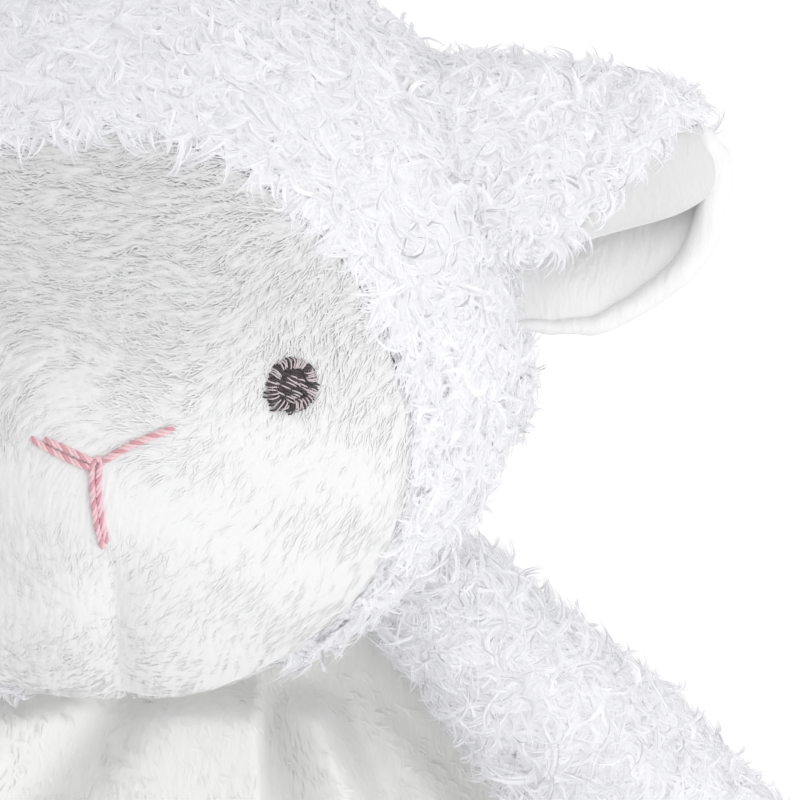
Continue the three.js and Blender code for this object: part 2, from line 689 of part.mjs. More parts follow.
const body = new THREE.Group();
const sleeveRight = armSleeve();
const armFillRight = armStuffing();
body.add(
  cloth('blanket_back', blanketLayer(0, BLANKET_BACK_THICKNESS), BLANKET_COLOUR, 0.9),
  cloth('blanket_front', blanketLayer(FRONT_BOTTOM, BLANKET_FRONT_THICKNESS), BLANKET_COLOUR, 0.9),
  cloth('neck_collar', neckCollar(), BLANKET_COLOUR, 0.95),
  cloth('neck_gathering_thread', gatheringThread(), THREAD_COLOUR, 0.7),
  cloth('arm_right_sleeve', sleeveRight, FUR_COLOUR, 0.95),
  cloth('arm_left_sleeve', mirrored(sleeveRight), FUR_COLOUR, 0.95),
  cloth('arm_right_stuffing', armFillRight, STUFFING_COLOUR, 0.95),
  cloth('arm_left_stuffing', mirrored(armFillRight), STUFFING_COLOUR, 0.95),
);

// The whole object is centred over the origin
const comforter = new THREE.Group();
comforter.add(head, body);
comforter.updateMatrixWorld(true);
const middleOfBox = new THREE.Box3().setFromObject(comforter, true).getCenter(new THREE.Vector3());
comforter.position.set(-middleOfBox.x, -middleOfBox.y, 0);

const part = new THREE.Group();
part.name = 'sheep_comfort_blanket';
part.add(comforter);

export default part;
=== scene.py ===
"""Sheep comfort blanket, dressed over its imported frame.

Lengths in this script are millimetres, and become metres where a mesh is made. The toy lies on its back: +Z
is up and is the way the face looks, +Y is the top of the head and +X is the viewer's right.
"""
import logging
import math
from dataclasses import dataclass, field
from enum import Enum
from typing import Callable, Sequence

import bpy
import numpy as np
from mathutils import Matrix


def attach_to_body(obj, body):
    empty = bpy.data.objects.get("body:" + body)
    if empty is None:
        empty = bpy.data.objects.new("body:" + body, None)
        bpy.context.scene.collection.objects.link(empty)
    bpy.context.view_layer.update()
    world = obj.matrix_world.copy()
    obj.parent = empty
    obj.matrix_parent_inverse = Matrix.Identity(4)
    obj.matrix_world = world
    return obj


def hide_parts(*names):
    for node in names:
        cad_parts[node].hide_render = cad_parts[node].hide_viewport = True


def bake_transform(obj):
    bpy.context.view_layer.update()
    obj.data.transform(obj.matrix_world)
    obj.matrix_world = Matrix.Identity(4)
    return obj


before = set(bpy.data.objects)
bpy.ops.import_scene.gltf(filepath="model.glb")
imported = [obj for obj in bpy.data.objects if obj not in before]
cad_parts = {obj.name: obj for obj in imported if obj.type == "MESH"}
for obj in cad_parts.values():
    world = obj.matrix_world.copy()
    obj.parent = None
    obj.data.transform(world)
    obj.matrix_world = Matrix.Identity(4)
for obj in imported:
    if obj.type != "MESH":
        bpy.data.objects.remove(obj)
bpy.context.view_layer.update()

LOG = logging.getLogger("comforter")
MM = 0.001
Array = np.ndarray
Colour = tuple[float, float, float]
FULL_TURN = 2.0 * math.pi
WHITE = (1.0, 1.0, 1.0, 1.0)
DIAGONAL = math.sqrt(0.5)
UPWARDS = np.array([[0.0, 0.0, 1.0]])
SOFTENING = np.hanning(11)[1:-1] / np.hanning(11).sum()


class Side(Enum):
    """Side of the toy as the viewer sees it."""

    LEFT = -1
    RIGHT = 1

    @property
    def word(self) -> str:
        """The word for this side in piece and node names."""
        return self.name.lower()


# Small vector and mesh helpers


def unit(vectors: Array) -> Array:
    """Scale vectors to length one.

    Args:
        vectors: Array whose last axis holds x, y and z.

    Returns:
        The same directions with length one.
    """
    size = np.linalg.norm(vectors, axis=-1, keepdims=True)
    return vectors / np.maximum(size, 1e-9)


def smooth(value: Array, low: float, high: float) -> Array:
    """Rise smoothly from 0 at low to 1 at high.

    Args:
        value: Values to map.
        low: Where the rise starts.
        high: Where the rise ends.

    Returns:
        Values from 0 to 1.
    """
    t = np.clip((np.asarray(value, float) - low) / (high - low), 0.0, 1.0)
    return t * t * (3.0 - 2.0 * t)


def ripple(points: Array, scale: float, seed: int) -> Array:
    """Sum a few seeded sine waves into gentle lumps.

    Args:
        points: Places, N by 3, in millimetres.
        scale: About how wide one lump is.
        seed: Seed of the waves.

    Returns:
        One value from about -1 to 1 for each place.
    """
    waves = 6
    rng = np.random.default_rng(seed)
    total = np.zeros(points.shape[:-1])
    for _ in range(waves):
        wave = unit(rng.normal(size=3)) * (FULL_TURN / (scale * rng.uniform(0.7, 1.5)))
        total += np.sin(points @ wave + rng.uniform(0.0, FULL_TURN))
    return total / (waves / 2.0)


def swirl(points: Array, scale: float, seed: int) -> Array:
    """Turn gentle lumps into stray directions of pile.

    Args:
        points: Places, N by 3, in millimetres.
        scale: About how wide one swirl is.
        seed: Seed of the first of three sets of waves.

    Returns:
        One vector for each place.
    """
    return np.stack([ripple(points, scale, seed + axis) for axis in range(3)], axis=-1)


def mesh_piece(
    name: str,
    points: Array,
    faces: Array,
    material: bpy.types.Material,
    normals: Array | None = None,
    tone: Array | float | None = None,
    flip: bool = False,
) -> bpy.types.Object:
    """Make a smooth mesh object from points in millimetres.

    Args:
        name: Name of the piece.
        points: Places, last axis x, y and z, in millimetres.
        faces: Corner numbers, M by 4.
        material: Material of the whole piece.
        normals: Directions that the surface is shaded by, N by 3, where they aren't those of the faces.
        tone: Brightness of the pile at each place, or one for all, where the material is toned.
        flip: Whether the faces are turned over, so that they look outwards.

    Returns:
        The new object.
    """
    points = points.reshape(-1, 3)
    faces = faces[:, ::-1] if flip else faces
    mesh = bpy.data.meshes.new(name)
    corners = faces.shape[1]
    mesh.vertices.add(len(points))
    mesh.vertices.foreach_set("co", (points * MM).astype(np.float32).ravel())
    mesh.loops.add(faces.size)
    mesh.loops.foreach_set("vertex_index", faces.astype(np.int32).ravel())
    mesh.polygons.add(len(faces))
    mesh.polygons.foreach_set("loop_start", np.arange(0, faces.size, corners, dtype=np.int32))
    mesh.polygons.foreach_set("use_smooth", np.ones(len(faces), dtype=bool))
    mesh.update(calc_edges=True)
    mesh.validate()
    mesh.materials.append(material)
    if normals is not None:
        mesh.normals_split_custom_set_from_vertices(normals.astype(np.float32))
    if tone is not None:
        values = mesh.attributes.new("tone", "FLOAT", "POINT")
        level = np.broadcast_to(np.ravel(tone), len(points))
        values.data.foreach_set("value", level.astype(np.float32))
    piece = bpy.data.objects.new(name, mesh)
    bpy.context.collection.objects.link(piece)
    return piece


@dataclass(frozen=True)
class Bend:
    """Soft seam of a limb: its hinge, its direction and its reach.

    Attributes:
        base: Body that the limb is sewn to.
        hinge: Place of the seam in millimetres.
        outward: Direction of the limb.
        reach: Distance from the seam to each end of its span, in millimetres.
    """

    base: str
    hinge: tuple[float, float, float]
    outward: tuple[float, float, float]
    reach: float

    def end(self, way: float) -> tuple[float, ...]:
        """Place at the start or the end of the seam's span.

        Args:
            way: -1 for the start, 1 for the end.

        Returns:
            Place in metres.
        """
        place = np.array(self.hinge) + way * self.reach * unit(np.array(self.outward))
        return tuple(float(value) for value in place * MM)


def attach(piece: bpy.types.Object, body: str, bend: Bend | None = None) -> None:
    """Let a piece ride on a body, or, for a piece of a limb, fix its mesh where it stands.

    Args:
        piece: The piece.
        body: Name of the body.
        bend: Soft seam of the limb that the piece is part of.
    """
    if bend is None:
        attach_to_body(piece, body)
    else:
        bend.end(-1.0)
        bend.end(1.0)
        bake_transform(piece)


def grid_faces(rows: int, columns: int, round_columns: bool = False) -> Array:
    """Number the corners of the quads of a grid of points.

    Args:
        rows: Number of rows of points.
        columns: Number of points in a row.
        round_columns: Whether the last column joins the first.

    Returns:
        Quads, M by 4.
    """
    across = np.arange(columns if round_columns else columns - 1)
    after = (across + 1) % columns
    row = np.arange(rows - 1)[:, None] * columns
    quads = np.stack([row + across, row + after, row + columns + after, row + columns + across], axis=-1)
    return quads.reshape(-1, 4)


def thick_sheet(outer: Array, inner: Array) -> tuple[Array, Array]:
    """Join two grids of points into a closed sheet.

    Args:
        outer: Grid of points on one side, rows by columns by 3.
        inner: Grid of the same shape on the other side.

    Returns:
        Points and quads.
    """
    rows, columns = outer.shape[:2]
    count = rows * columns
    number = np.arange(count).reshape(rows, columns)
    top = grid_faces(rows, columns)
    walls = []
    for edge in (number[0], number[:, -1], number[-1][::-1], number[::-1, 0]):
        walls.append(np.stack([edge[1:], edge[:-1], edge[:-1] + count, edge[1:] + count], axis=-1))
    faces = np.concatenate([top, top[:, ::-1] + count, *walls])[:, ::-1]
    return np.concatenate([outer.reshape(-1, 3), inner.reshape(-1, 3)]), faces


def tubes(paths: Array, radii: Array | float, sides: int, hint: Array = UPWARDS) -> tuple[Array, Array]:
    """Sweep many thin tubes along paths of equal numbers of points.

    Args:
        paths: Points of the paths, N by P by 3.
        radii: Radius at each point, N by P, or one radius for all.
        sides: Number of sides of each tube.
        hint: Direction, 1 by 3, that the sides of the tubes are turned by.

    Returns:
        Points and quads.
    """
    count, places = paths.shape[:2]
    along = unit(np.gradient(paths, axis=1))
    first = unit(np.cross(along, hint[:, None, :] + 1e-6))
    second = np.cross(along, first)
    angles = np.arange(sides) * (FULL_TURN / sides)
    ring = first[:, :, None, :] * np.cos(angles)[:, None] + second[:, :, None, :] * np.sin(angles)[:, None]
    points = paths[:, :, None, :] + ring * np.broadcast_to(radii, paths.shape[:2])[:, :, None, None]
    one = grid_faces(places, sides, True)
    starts = np.arange(count)[:, None, None] * (places * sides)
    return points.reshape(-1, 3), (one[None] + starts).reshape(-1, 4)


# Materials


@dataclass(frozen=True)
class Wiring:
    """Short ways to add linked nodes to a tree.

    Attributes:
        tree: The tree of nodes.
    """

    tree: bpy.types.NodeTree

    def feed(self, place: bpy.types.NodeSocket, part: object) -> None:
        """Fill one input of a node.

        Args:
            place: The input.
            part: Its value, the output that it is linked to, or None to leave it as it is.
        """
        if isinstance(part, bpy.types.NodeSocket):
            self.tree.links.new(part, place)
        elif part is not None:
            place.default_value = part

    def add(self, kind: str, *parts: object) -> bpy.types.Node:
        """Add a node and fill its inputs in order.

        Args:
            kind: Kind of node.
            parts: Values or outputs for its inputs.

        Returns:
            The node.
        """
        node = self.tree.nodes.new(kind)
        for place, part in zip(node.inputs, parts):
            self.feed(place, part)
        return node

    def work(self, operation: str, *parts: object, kind: str = "ShaderNodeMath") -> bpy.types.NodeSocket:
        """Work out a number or a vector.

        Args:
            operation: How it is worked out.
            parts: Values or outputs that it is worked out from.
            kind: Kind of node, for numbers or for vectors.

        Returns:
            The output with the result.
        """
        node = self.add(kind, *parts)
        node.operation = operation
        return node.outputs[0]

    def mix(self, share: object, first: object, second: object) -> bpy.types.NodeSocket:
        """Mix two shaders.

        Args:
            share: Share of the second shader.
            first: First shader.
            second: Second shader.

        Returns:
            The output with the mixed shader.
        """
        return self.add("ShaderNodeMixShader", share, first, second).outputs["Shader"]


def nap_group() -> bpy.types.NodeTree:
    """Make the shared pattern of brushed short pile.

    Returns:
        A node group with the inputs Grain, Stretch, Patch, Tone, Matt, Light, Shade and the outputs Colour,
        Roughness and Height.
    """
    sway = (0.004, 0.004, 0.004)
    fibre_detail = 4.0
    fibre_share = 0.6
    patch_share = 0.4
    matt_change = -0.15
    tree = bpy.data.node_groups.new("BrushedNap", "ShaderNodeTree")
    face = tree.interface
    inputs = (("Grain", 900.0), ("Stretch", 0.18), ("Patch", 60.0), ("Tone", 1.0), ("Matt", 0.85))
    for word, value in inputs:
        socket = face.new_socket(word, in_out="INPUT", socket_type="NodeSocketFloat")
        socket.default_value = value
    for word in ("Light", "Shade"):
        face.new_socket(word, in_out="INPUT", socket_type="NodeSocketColor")
    face.new_socket("Colour", in_out="OUTPUT", socket_type="NodeSocketColor")
    for word in ("Roughness", "Height"):
        face.new_socket(word, in_out="OUTPUT", socket_type="NodeSocketFloat")
    wiring = Wiring(tree)
    given = tree.nodes.new("NodeGroupInput").outputs
    target = tree.nodes.new("NodeGroupOutput").inputs
    place = wiring.add("ShaderNodeTexCoord").outputs["Object"]
    patches = wiring.add("ShaderNodeTexNoise")
    wiring.feed(patches.inputs["Vector"], place)
    wiring.feed(patches.inputs["Scale"], given["Patch"])
    vectors = "ShaderNodeVectorMath"
    swayed = wiring.work("MULTIPLY_ADD", patches.outputs["Color"], sway, place, kind=vectors)
    stretch = wiring.add("ShaderNodeCombineXYZ", 1.0, given["Stretch"], 1.0).outputs["Vector"]
    fibres = wiring.add("ShaderNodeTexNoise")
    wiring.feed(fibres.inputs["Vector"], wiring.work("MULTIPLY", swayed, stretch, kind=vectors))
    wiring.feed(fibres.inputs["Scale"], given["Grain"])
    wiring.feed(fibres.inputs["Detail"], fibre_detail)
    lumps = wiring.work("MULTIPLY", patches.outputs["Fac"], patch_share)
    height = wiring.work("MULTIPLY_ADD", fibres.outputs["Fac"], fibre_share, lumps)
    mix = wiring.add("ShaderNodeMix")
    mix.data_type = "RGBA"
    wiring.feed(mix.inputs["Factor"], height)
    wiring.feed(mix.inputs[6], given["Shade"])
    wiring.feed(mix.inputs[7], given["Light"])
    toned = wiring.work("SCALE", mix.outputs[2], None, None, given["Tone"], kind=vectors)
    matt = wiring.work("MULTIPLY_ADD", height, matt_change, given["Matt"])
    wiring.feed(target["Colour"], toned)
    wiring.feed(target["Roughness"], matt)
    wiring.feed(target["Height"], height)
    return tree


@dataclass(frozen=True)
class Finish:
    """Look of one cloth or thread.

    Attributes:
        name: Name of the material.
        light: Colour of its lit fibres.
        shade: Colour between its fibres.
        roughness: Roughness of its surface.
        sheen: Soft light at grazing angles.
        grain: How fine its fibres are.
        stretch: How drawn out its fibres are along Y.
        patch: How fine its lighter and darker areas are.
        depth: Height of its relief, in metres.
        glow: Share of light that passes through its fibres.
        toned: Whether the tone attribute scales its colour: random tone on the fur, painted shade on face,
            lining and blanket.
    """

    name: str
    light: Colour
    shade: Colour
    roughness: float = 0.85
    sheen: float = 0.25
    grain: float = 900.0
    stretch: float = 0.18
    patch: float = 60.0
    depth: float = 0.0004
    glow: float = 0.0
    toned: bool = False

    def material(self, nap: bpy.types.NodeTree) -> bpy.types.Material:
        """Build the material.

        Args:
            nap: The shared pattern of brushed pile.

        Returns:
            The material.
        """
        between_fibres = 0.08
        made = bpy.data.materials.new(self.name)
        made.use_nodes = True
        nodes = made.node_tree.nodes
        wiring = Wiring(made.node_tree)
        pattern = wiring.add("ShaderNodeGroup")
        pattern.node_tree = nap
        values = {
            "Grain": self.grain,
            "Stretch": self.stretch,
            "Patch": self.patch,
            "Matt": self.roughness + between_fibres,
            "Light": (*self.light, 1.0),
            "Shade": (*self.shade, 1.0),
        }
        for word, value in values.items():
            wiring.feed(pattern.inputs[word], value)
        if self.toned:
            lie = wiring.add("ShaderNodeAttribute")
            lie.attribute_name = "tone"
            wiring.feed(pattern.inputs["Tone"], lie.outputs["Fac"])
        bump = wiring.add("ShaderNodeBump")
        wiring.feed(bump.inputs["Distance"], self.depth)
        wiring.feed(bump.inputs["Height"], pattern.outputs["Height"])
        shader = nodes["Principled BSDF"]
        parts = {
            "Sheen Weight": self.sheen,
            "Sheen Roughness": 0.5,
            "Specular IOR Level": 0.25,
            "Base Color": pattern.outputs["Colour"],
            "Roughness": pattern.outputs["Roughness"],
            "Normal": bump.outputs["Normal"],
        }
        for word, part in parts.items():
            wiring.feed(shader.inputs[word], part)
        if self.glow > 0.0:
            surface = self.lit_through(wiring, shader.outputs["BSDF"], pattern.outputs["Colour"])
            wiring.feed(nodes["Material Output"].inputs["Surface"], surface)
        return made

    def lit_through(
        self, wiring: Wiring, shader: bpy.types.NodeSocket, colour: bpy.types.NodeSocket
    ) -> bpy.types.NodeSocket:
        """Let light pass through the fibres, and let their backs shine with it.

        Args:
            wiring: Nodes of the material.
            shader: Shader of the front of the fibres.
            colour: Colour of the fibres.

        Returns:
            The output with the whole shader.
        """
        back_share = min(1.0, 1.2 * self.glow)
        path = wiring.add("ShaderNodeLightPath").outputs
        light = wiring.work("MAXIMUM", path["Is Shadow Ray"], path["Is Diffuse Ray"])
        behind = wiring.add("ShaderNodeBsdfTranslucent", colour).outputs["BSDF"]
        turned = wiring.add("ShaderNodeNewGeometry").outputs["Backfacing"]
        both = wiring.mix(wiring.work("MULTIPLY", turned, back_share), shader, behind)
        through = wiring.add("ShaderNodeBsdfTransparent").outputs["BSDF"]
        return wiring.mix(wiring.work("MULTIPLY", light, self.glow), both, through)


@dataclass(frozen=True)
class Wardrobe:
    """All finishes of the toy, named as in its record."""

    fur: Finish = Finish(
        "fur", (0.925, 0.925, 0.955), (0.89, 0.89, 0.93),
        0.75, 0.3, 500.0, 0.5, 120.0, 0.0002, 0.85, True,
    )
    under_fur: Finish = Finish(
        "under_fur", (0.90, 0.90, 0.935), (0.86, 0.86, 0.90),
        0.9, 0.3, 700.0, 0.6, 160.0, 0.0006,
    )
    face: Finish = Finish(
        "face_plush", (0.85, 0.85, 0.856), (0.80, 0.80, 0.806),
        0.85, 0.3, 1100.0, 0.5, 90.0, 0.00015, toned=True,
    )
    face_nap: Finish = Finish(
        "face_nap", (0.86, 0.86, 0.866), (0.82, 0.82, 0.826),
        0.85, 0.3, 1100.0, 0.5, 90.0, 0.0001, toned=True,
    )
    blanket_nap: Finish = Finish(
        "blanket_nap", (0.95, 0.95, 0.935), (0.89, 0.89, 0.87),
        0.85, 0.35, 900.0, 0.2, 70.0, 0.0002, 0.15, True,
    )
    lining: Finish = Finish(
        "lining_plush", (0.90, 0.90, 0.905), (0.83, 0.83, 0.83),
        0.85, 0.3, 1000.0, 0.3, 90.0, 0.0004, toned=True,
    )
    blanket: Finish = Finish(
        "blanket_plush", (0.94, 0.94, 0.925), (0.87, 0.87, 0.85),
        0.85, 0.35, 900.0, 0.2, 70.0, 0.0005, toned=True,
    )
    eye: Finish = Finish(
        "eye_thread", (0.10, 0.08, 0.09), (0.04, 0.03, 0.035),
        0.38, 0.2, 2500.0, 0.6, 500.0, 0.00005,
    )
    # Lighter copy of the eye thread: painted sheen highlights on the stitches.
    eye_light: Finish = Finish(
        "eye_thread_light", (0.80, 0.70, 0.72), (0.50, 0.42, 0.44),
        0.35, 0.2, 2500.0, 0.6, 500.0, 0.00005,
    )
    mouth: Finish = Finish(
        "mouth_thread", (0.76, 0.43, 0.48), (0.60, 0.27, 0.32),
        0.4, 0.3, 2200.0, 0.6, 600.0, 0.00005,
    )
    # Lighter copy of the pink thread: painted highlights on the twisted strands.
    mouth_light: Finish = Finish(
        "mouth_thread_light", (0.90, 0.67, 0.71), (0.78, 0.48, 0.53),
        0.4, 0.3, 2200.0, 0.6, 600.0, 0.00005,
    )
    thread: Finish = Finish(
        "sewing_thread", (0.85, 0.85, 0.86), (0.7, 0.7, 0.72),
        0.6, 0.2, 1500.0, 0.6, 300.0, 0.0001,
    )

    def materials(self) -> dict[str, bpy.types.Material]:
        """Build every material once.

        Returns:
            Materials by the name of their field.
        """
        nap = nap_group()
        return {word: getattr(self, word).material(nap) for word in self.__dataclass_fields__}


# Pile


@dataclass(frozen=True)
class LockStyle:
    """Shape of curly locks of long pile. A lock is a bunch of flat, tapering wisps of fibre.

    Attributes:
        length: Shortest and longest lock.
        wisps: Wisps in a lock.
        segments: Straight pieces in a wisp.
        width: Narrowest and widest wisp.
        spread: How far the wisps of a lock stand apart.
        lift_deg: Angle between root and cloth.
        lift_change_deg: How much that angle changes from lock to lock.
        raised: Share of the locks that stand up more.
        raised_deg: How much more they stand up.
        raised_layer: How many times higher their layer is.
        layer: Least and most height that a lock is pressed into.
        curl_deg: Smallest and largest turn from root to tip.
        dive: How much of the turn bends back to the cloth.
        scatter: How far locks stray from the combed direction.
        flare: How far wisps roll away from lying flat.
        softness: Share of the shading that comes from the pile as a whole, not from one wisp.
        bright: Share of the locks that are lighter than the rest.
        bright_tone: Brightness of those locks.
        plain_tone: Least and most brightness of the rest.
    """

    length: tuple[float, float] = (4.8, 9.5)
    wisps: int = 6
    segments: int = 5
    width: tuple[float, float] = (0.18, 0.55)
    spread: float = 0.5
    lift_deg: float = 22.0
    lift_change_deg: float = 9.0
    raised: float = 0.2
    raised_deg: float = 28.0
    raised_layer: float = 2.5
    layer: tuple[float, float] = (0.7, 2.0)
    curl_deg: tuple[float, float] = (60.0, 240.0)
    dive: float = 0.35
    scatter: float = 0.5
    flare: float = 0.35
    softness: float = 0.93
    bright: float = 0.2
    bright_tone: float = 1.025
    plain_tone: tuple[float, float] = (0.94, 1.01)

    def grow(
        self,
        name: str,
        look: bpy.types.Material,
        roots: Array,
        normals: Array,
        combs: Array,
        seed: int,
        floor: float,
    ) -> bpy.types.Object:
        """Grow one lock on each root.

        Args:
            name: Name of the piece.
            look: Material of the locks.
            roots: Places of the roots, N by 3.
            normals: Directions out of the cloth, N by 3.
            combs: Directions that the pile is combed in, N by 3.
            seed: Seed of the random values.
            floor: Lowest height that a wisp may reach.

        Returns:
            One piece of all locks.
        """
        rng = np.random.default_rng(seed)
        count = len(roots)
        comb = combs + rng.normal(0.0, self.scatter, (count, 3))
        comb = unit(comb - normals * np.sum(comb * normals, axis=1, keepdims=True))
        beside = np.cross(normals, comb)
        raised = rng.uniform(size=count) < self.raised
        more = np.where(raised, self.raised_deg, 0.0)
        lift = np.radians(rng.normal(self.lift_deg, self.lift_change_deg, count) + more)[:, None]
        layer = rng.uniform(*self.layer, count) * np.where(raised, self.raised_layer, 1.0)
        start = comb * np.cos(lift) + normals * np.sin(lift)
        dive = beside * rng.normal(self.dive, 0.4, (count, 1))
        axis = unit(dive + normals * rng.normal(0.0, 0.9, (count, 1)))
        turn = np.radians(rng.uniform(*self.curl_deg, count))
        middle = (np.arange(self.segments) + 0.5) / self.segments
        angle = (turn[:, None] * middle ** 0.8)[:, :, None]
        along = np.sum(axis * start, axis=1)[:, None, None] * axis[:, None, :]
        heading = start[:, None, :] * np.cos(angle) + np.cross(axis, start)[:, None, :] * np.sin(angle)
        heading = heading + along * (1.0 - np.cos(angle))
        length = rng.uniform(*self.length, count)
        walk = np.cumsum(heading * (length / self.segments)[:, None, None], axis=1)
        walk = np.concatenate([np.zeros((count, 1, 3)), walk], axis=1)
        part = np.linspace(0.0, 1.0, self.segments + 1)
        bunch = (0.55 + 0.6 * np.sin(math.pi * part)) * (1.0 - 0.85 * part ** 2)
        shape = (count, self.wisps, 1, 1)
        share = rng.uniform(0.65, 1.08, shape)
        sideways = rng.normal(0.0, self.spread, shape) * axis[:, None, None, :]
        outwards = rng.normal(0.0, self.spread * 0.6, shape) * np.cross(axis, start)[:, None, None, :]
        paths = roots[:, None, None, :] + walk[:, None] * share + (sideways + outwards) * bunch[:, None]
        outward = normals[:, None, None, :]
        high = np.sum((paths - roots[:, None, None, :]) * outward, axis=-1)
        limit = layer[:, None, None]
        pressed = limit * (1.0 - np.exp(-np.maximum(high, 0.0) / limit)) + 0.1 * part
        paths = paths + (pressed - high)[..., None] * outward
        paths = paths.reshape(-1, self.segments + 1, 3)
        paths[:, :, 2] = np.maximum(paths[:, :, 2], floor)
        facing = np.repeat(normals, self.wisps, axis=0) + rng.normal(0.0, self.flare, (len(paths), 3))
        width = rng.uniform(*self.width, (len(paths), 1))
        points, quads, shaded = self.ribbons(paths, unit(facing), width, part)
        plain = np.clip(rng.normal(0.98, 0.015, count), *self.plain_tone)
        tone = np.where(rng.uniform(size=count) < self.bright, self.bright_tone, plain)
        return mesh_piece(name, points, quads, look, shaded, np.repeat(tone, len(points) // count))

    def ribbons(self, paths: Array, facing: Array, width: Array, part: Array) -> tuple[Array, Array, Array]:
        """Lay flat, slightly arched, tapering ribbons along paths.

        Args:
            paths: Points of the paths, N by P by 3.
            facing: Direction that each ribbon faces, N by 3.
            width: Width of each ribbon, N by 1.
            part: Places along a path, from 0 to 1.

        Returns:
            Points, quads and the directions that the ribbons are shaded by.
        """
        arch = 0.45
        lean = 0.5
        along = unit(np.gradient(paths, axis=1))
        wide = unit(np.cross(along, facing[:, None, :]))
        crown = np.cross(wide, along)
        taper = (0.6 + 0.4 * np.sin(math.pi * np.minimum(1.0, part * 1.4))) * (1.0 - part ** 2.2) + 0.03
        half = (0.5 * width * taper)[:, :, None]
        points = np.stack([paths - wide * half, paths + crown * half * arch, paths + wide * half], axis=2)
        shaded = np.stack([crown - wide * lean, crown, crown + wide * lean], axis=2) * (1.0 - self.softness)
        shaded = unit(shaded + facing[:, None, None, :] * self.softness)
        one = grid_faces(len(part), 3)
        starts = np.arange(len(paths))[:, None, None] * (3 * len(part))
        return points.reshape(-1, 3), (one[None] + starts).reshape(-1, 4), shaded.reshape(-1, 3)


@dataclass(frozen=True)
class NapStyle:
    """Shape of the tufts of short brushed pile.

    Attributes:
        length: Shortest and longest tuft.
        width: Width of a tuft.
        rise: Height of a tuft over the cloth.
        scatter: How far tufts stray from the brushed direction.
    """

    length: tuple[float, float] = (1.3, 2.4)
    width: float = 0.22
    rise: float = 0.16
    scatter: float = 0.25

    def grow(
        self, roots: Array, normals: Array, combs: Array, seed: int, share: Array
    ) -> tuple[Array, Array, Array]:
        """Lay one tuft on each root.

        Args:
            roots: Places of the roots, N by 3.
            normals: Directions out of the cloth, N by 3.
            combs: Directions that the pile is brushed in, N by 3.
            seed: Seed of the random values.
            share: Share of the full height at each root.

        Returns:
            Points, quads and shading directions of all tufts.
        """
        rng = np.random.default_rng(seed)
        count = len(roots)
        comb = combs + rng.normal(0.0, self.scatter, (count, 3))
        comb = unit(comb - normals * np.sum(comb * normals, axis=1, keepdims=True))
        beside = np.cross(normals, comb)
        length = rng.uniform(*self.length, (count, 1))
        rise = self.rise * rng.uniform(0.6, 1.3, (count, 1)) * share[:, None]
        lean = rng.normal(0.0, 0.25, (count, 1)) * length
        arch = 0.22
        tilt = 0.3
        rows = []
        for part, high, wide in ((0.0, -0.3, 0.8), (0.45, 0.85, 1.0), (1.0, 0.75, 0.15)):
            middle = roots + comb * length * part + normals * rise * high + beside * lean * part ** 2
            edge = beside * (self.width * wide * 0.5)
            crown = normals * (self.width * arch * wide) * share[:, None]
            rows.append(np.stack([middle - edge, middle + crown, middle + edge], axis=1))
        points = np.stack(rows, axis=1)
        one = grid_faces(len(rows), 3)[:, ::-1]
        starts = np.arange(count)[:, None, None] * (3 * len(rows))
        tilted = np.stack([normals - tilt * beside, normals, normals + tilt * beside], axis=1)
        shaded = unit(np.repeat(tilted[:, None], len(rows), axis=1)).reshape(-1, 3)
        return points.reshape(-1, 3), (one[None] + starts).reshape(-1, 4), shaded


@dataclass
class BrushedField:
    """Streaks of brushed pile, drawn out along a field of directions.

    Attributes:
        low: Lowest x and y.
        high: Highest x and y.
        spacing: Distance between the points of its grid.
        reach: Length of a streak.
        seed: Seed of the streaks.
    """

    low: tuple[float, float]
    high: tuple[float, float]
    spacing: float = 0.18
    reach: float = 2.8
    seed: int = 1

    def draw(self, brushing: Callable[[Array], Array]) -> None:
        """Draw the streaks.

        Args:
            brushing: Directions of the pile at places, N by 3.
        """
        x = np.arange(self.low[0], self.high[0], self.spacing)
        y = np.arange(self.low[1], self.high[1], self.spacing)
        across, up = np.meshgrid(x, y)
        noise = np.random.default_rng(self.seed).normal(size=across.shape)
        shifts = (np.roll(noise, 1, axis=0), np.roll(noise, 1, axis=1), np.roll(noise, (1, 1), axis=(0, 1)))
        noise = (noise + shifts[0] + shifts[1] + shifts[2]) / 4.0
        places = np.stack([across.ravel(), up.ravel(), np.zeros(across.size)], axis=-1)
        comb = brushing(places).reshape(*across.shape, 3)
        total = np.zeros_like(across)
        for part in np.linspace(-0.5, 0.5, 21):
            shifted = (across + comb[..., 0] * part * self.reach, up + comb[..., 1] * part * self.reach)
            total += math.cos(math.pi * part) * self.pick(noise, *shifted)
        self.values = (total - total.mean()) / total.std()

    def pick(self, values: Array, x: Array, y: Array) -> Array:
        """Read values between the points of the grid.

        Args:
            values: Values on the grid.
            x: Places across.
            y: Places up.

        Returns:
            Values at the places.
        """
        rows, columns = values.shape
        right = np.clip((x - self.low[0]) / self.spacing, 0.0, columns - 1.001)
        above = np.clip((y - self.low[1]) / self.spacing, 0.0, rows - 1.001)
        column = right.astype(int)
        row = above.astype(int)
        right = right - column
        above = above - row
        lower = values[row, column] * (1.0 - right) + values[row, column + 1] * right
        upper = values[row + 1, column] * (1.0 - right) + values[row + 1, column + 1] * right
        return lower * (1.0 - above) + upper * above

    def sample(self, places: Array) -> Array:
        """Height of the streaks at places seen from the front.

        Args:
            places: Places, last axis x, y, z.

        Returns:
            Heights of about -2 to 2.
        """
        return self.pick(self.values, places[..., 0], places[..., 1])


# Embroidery


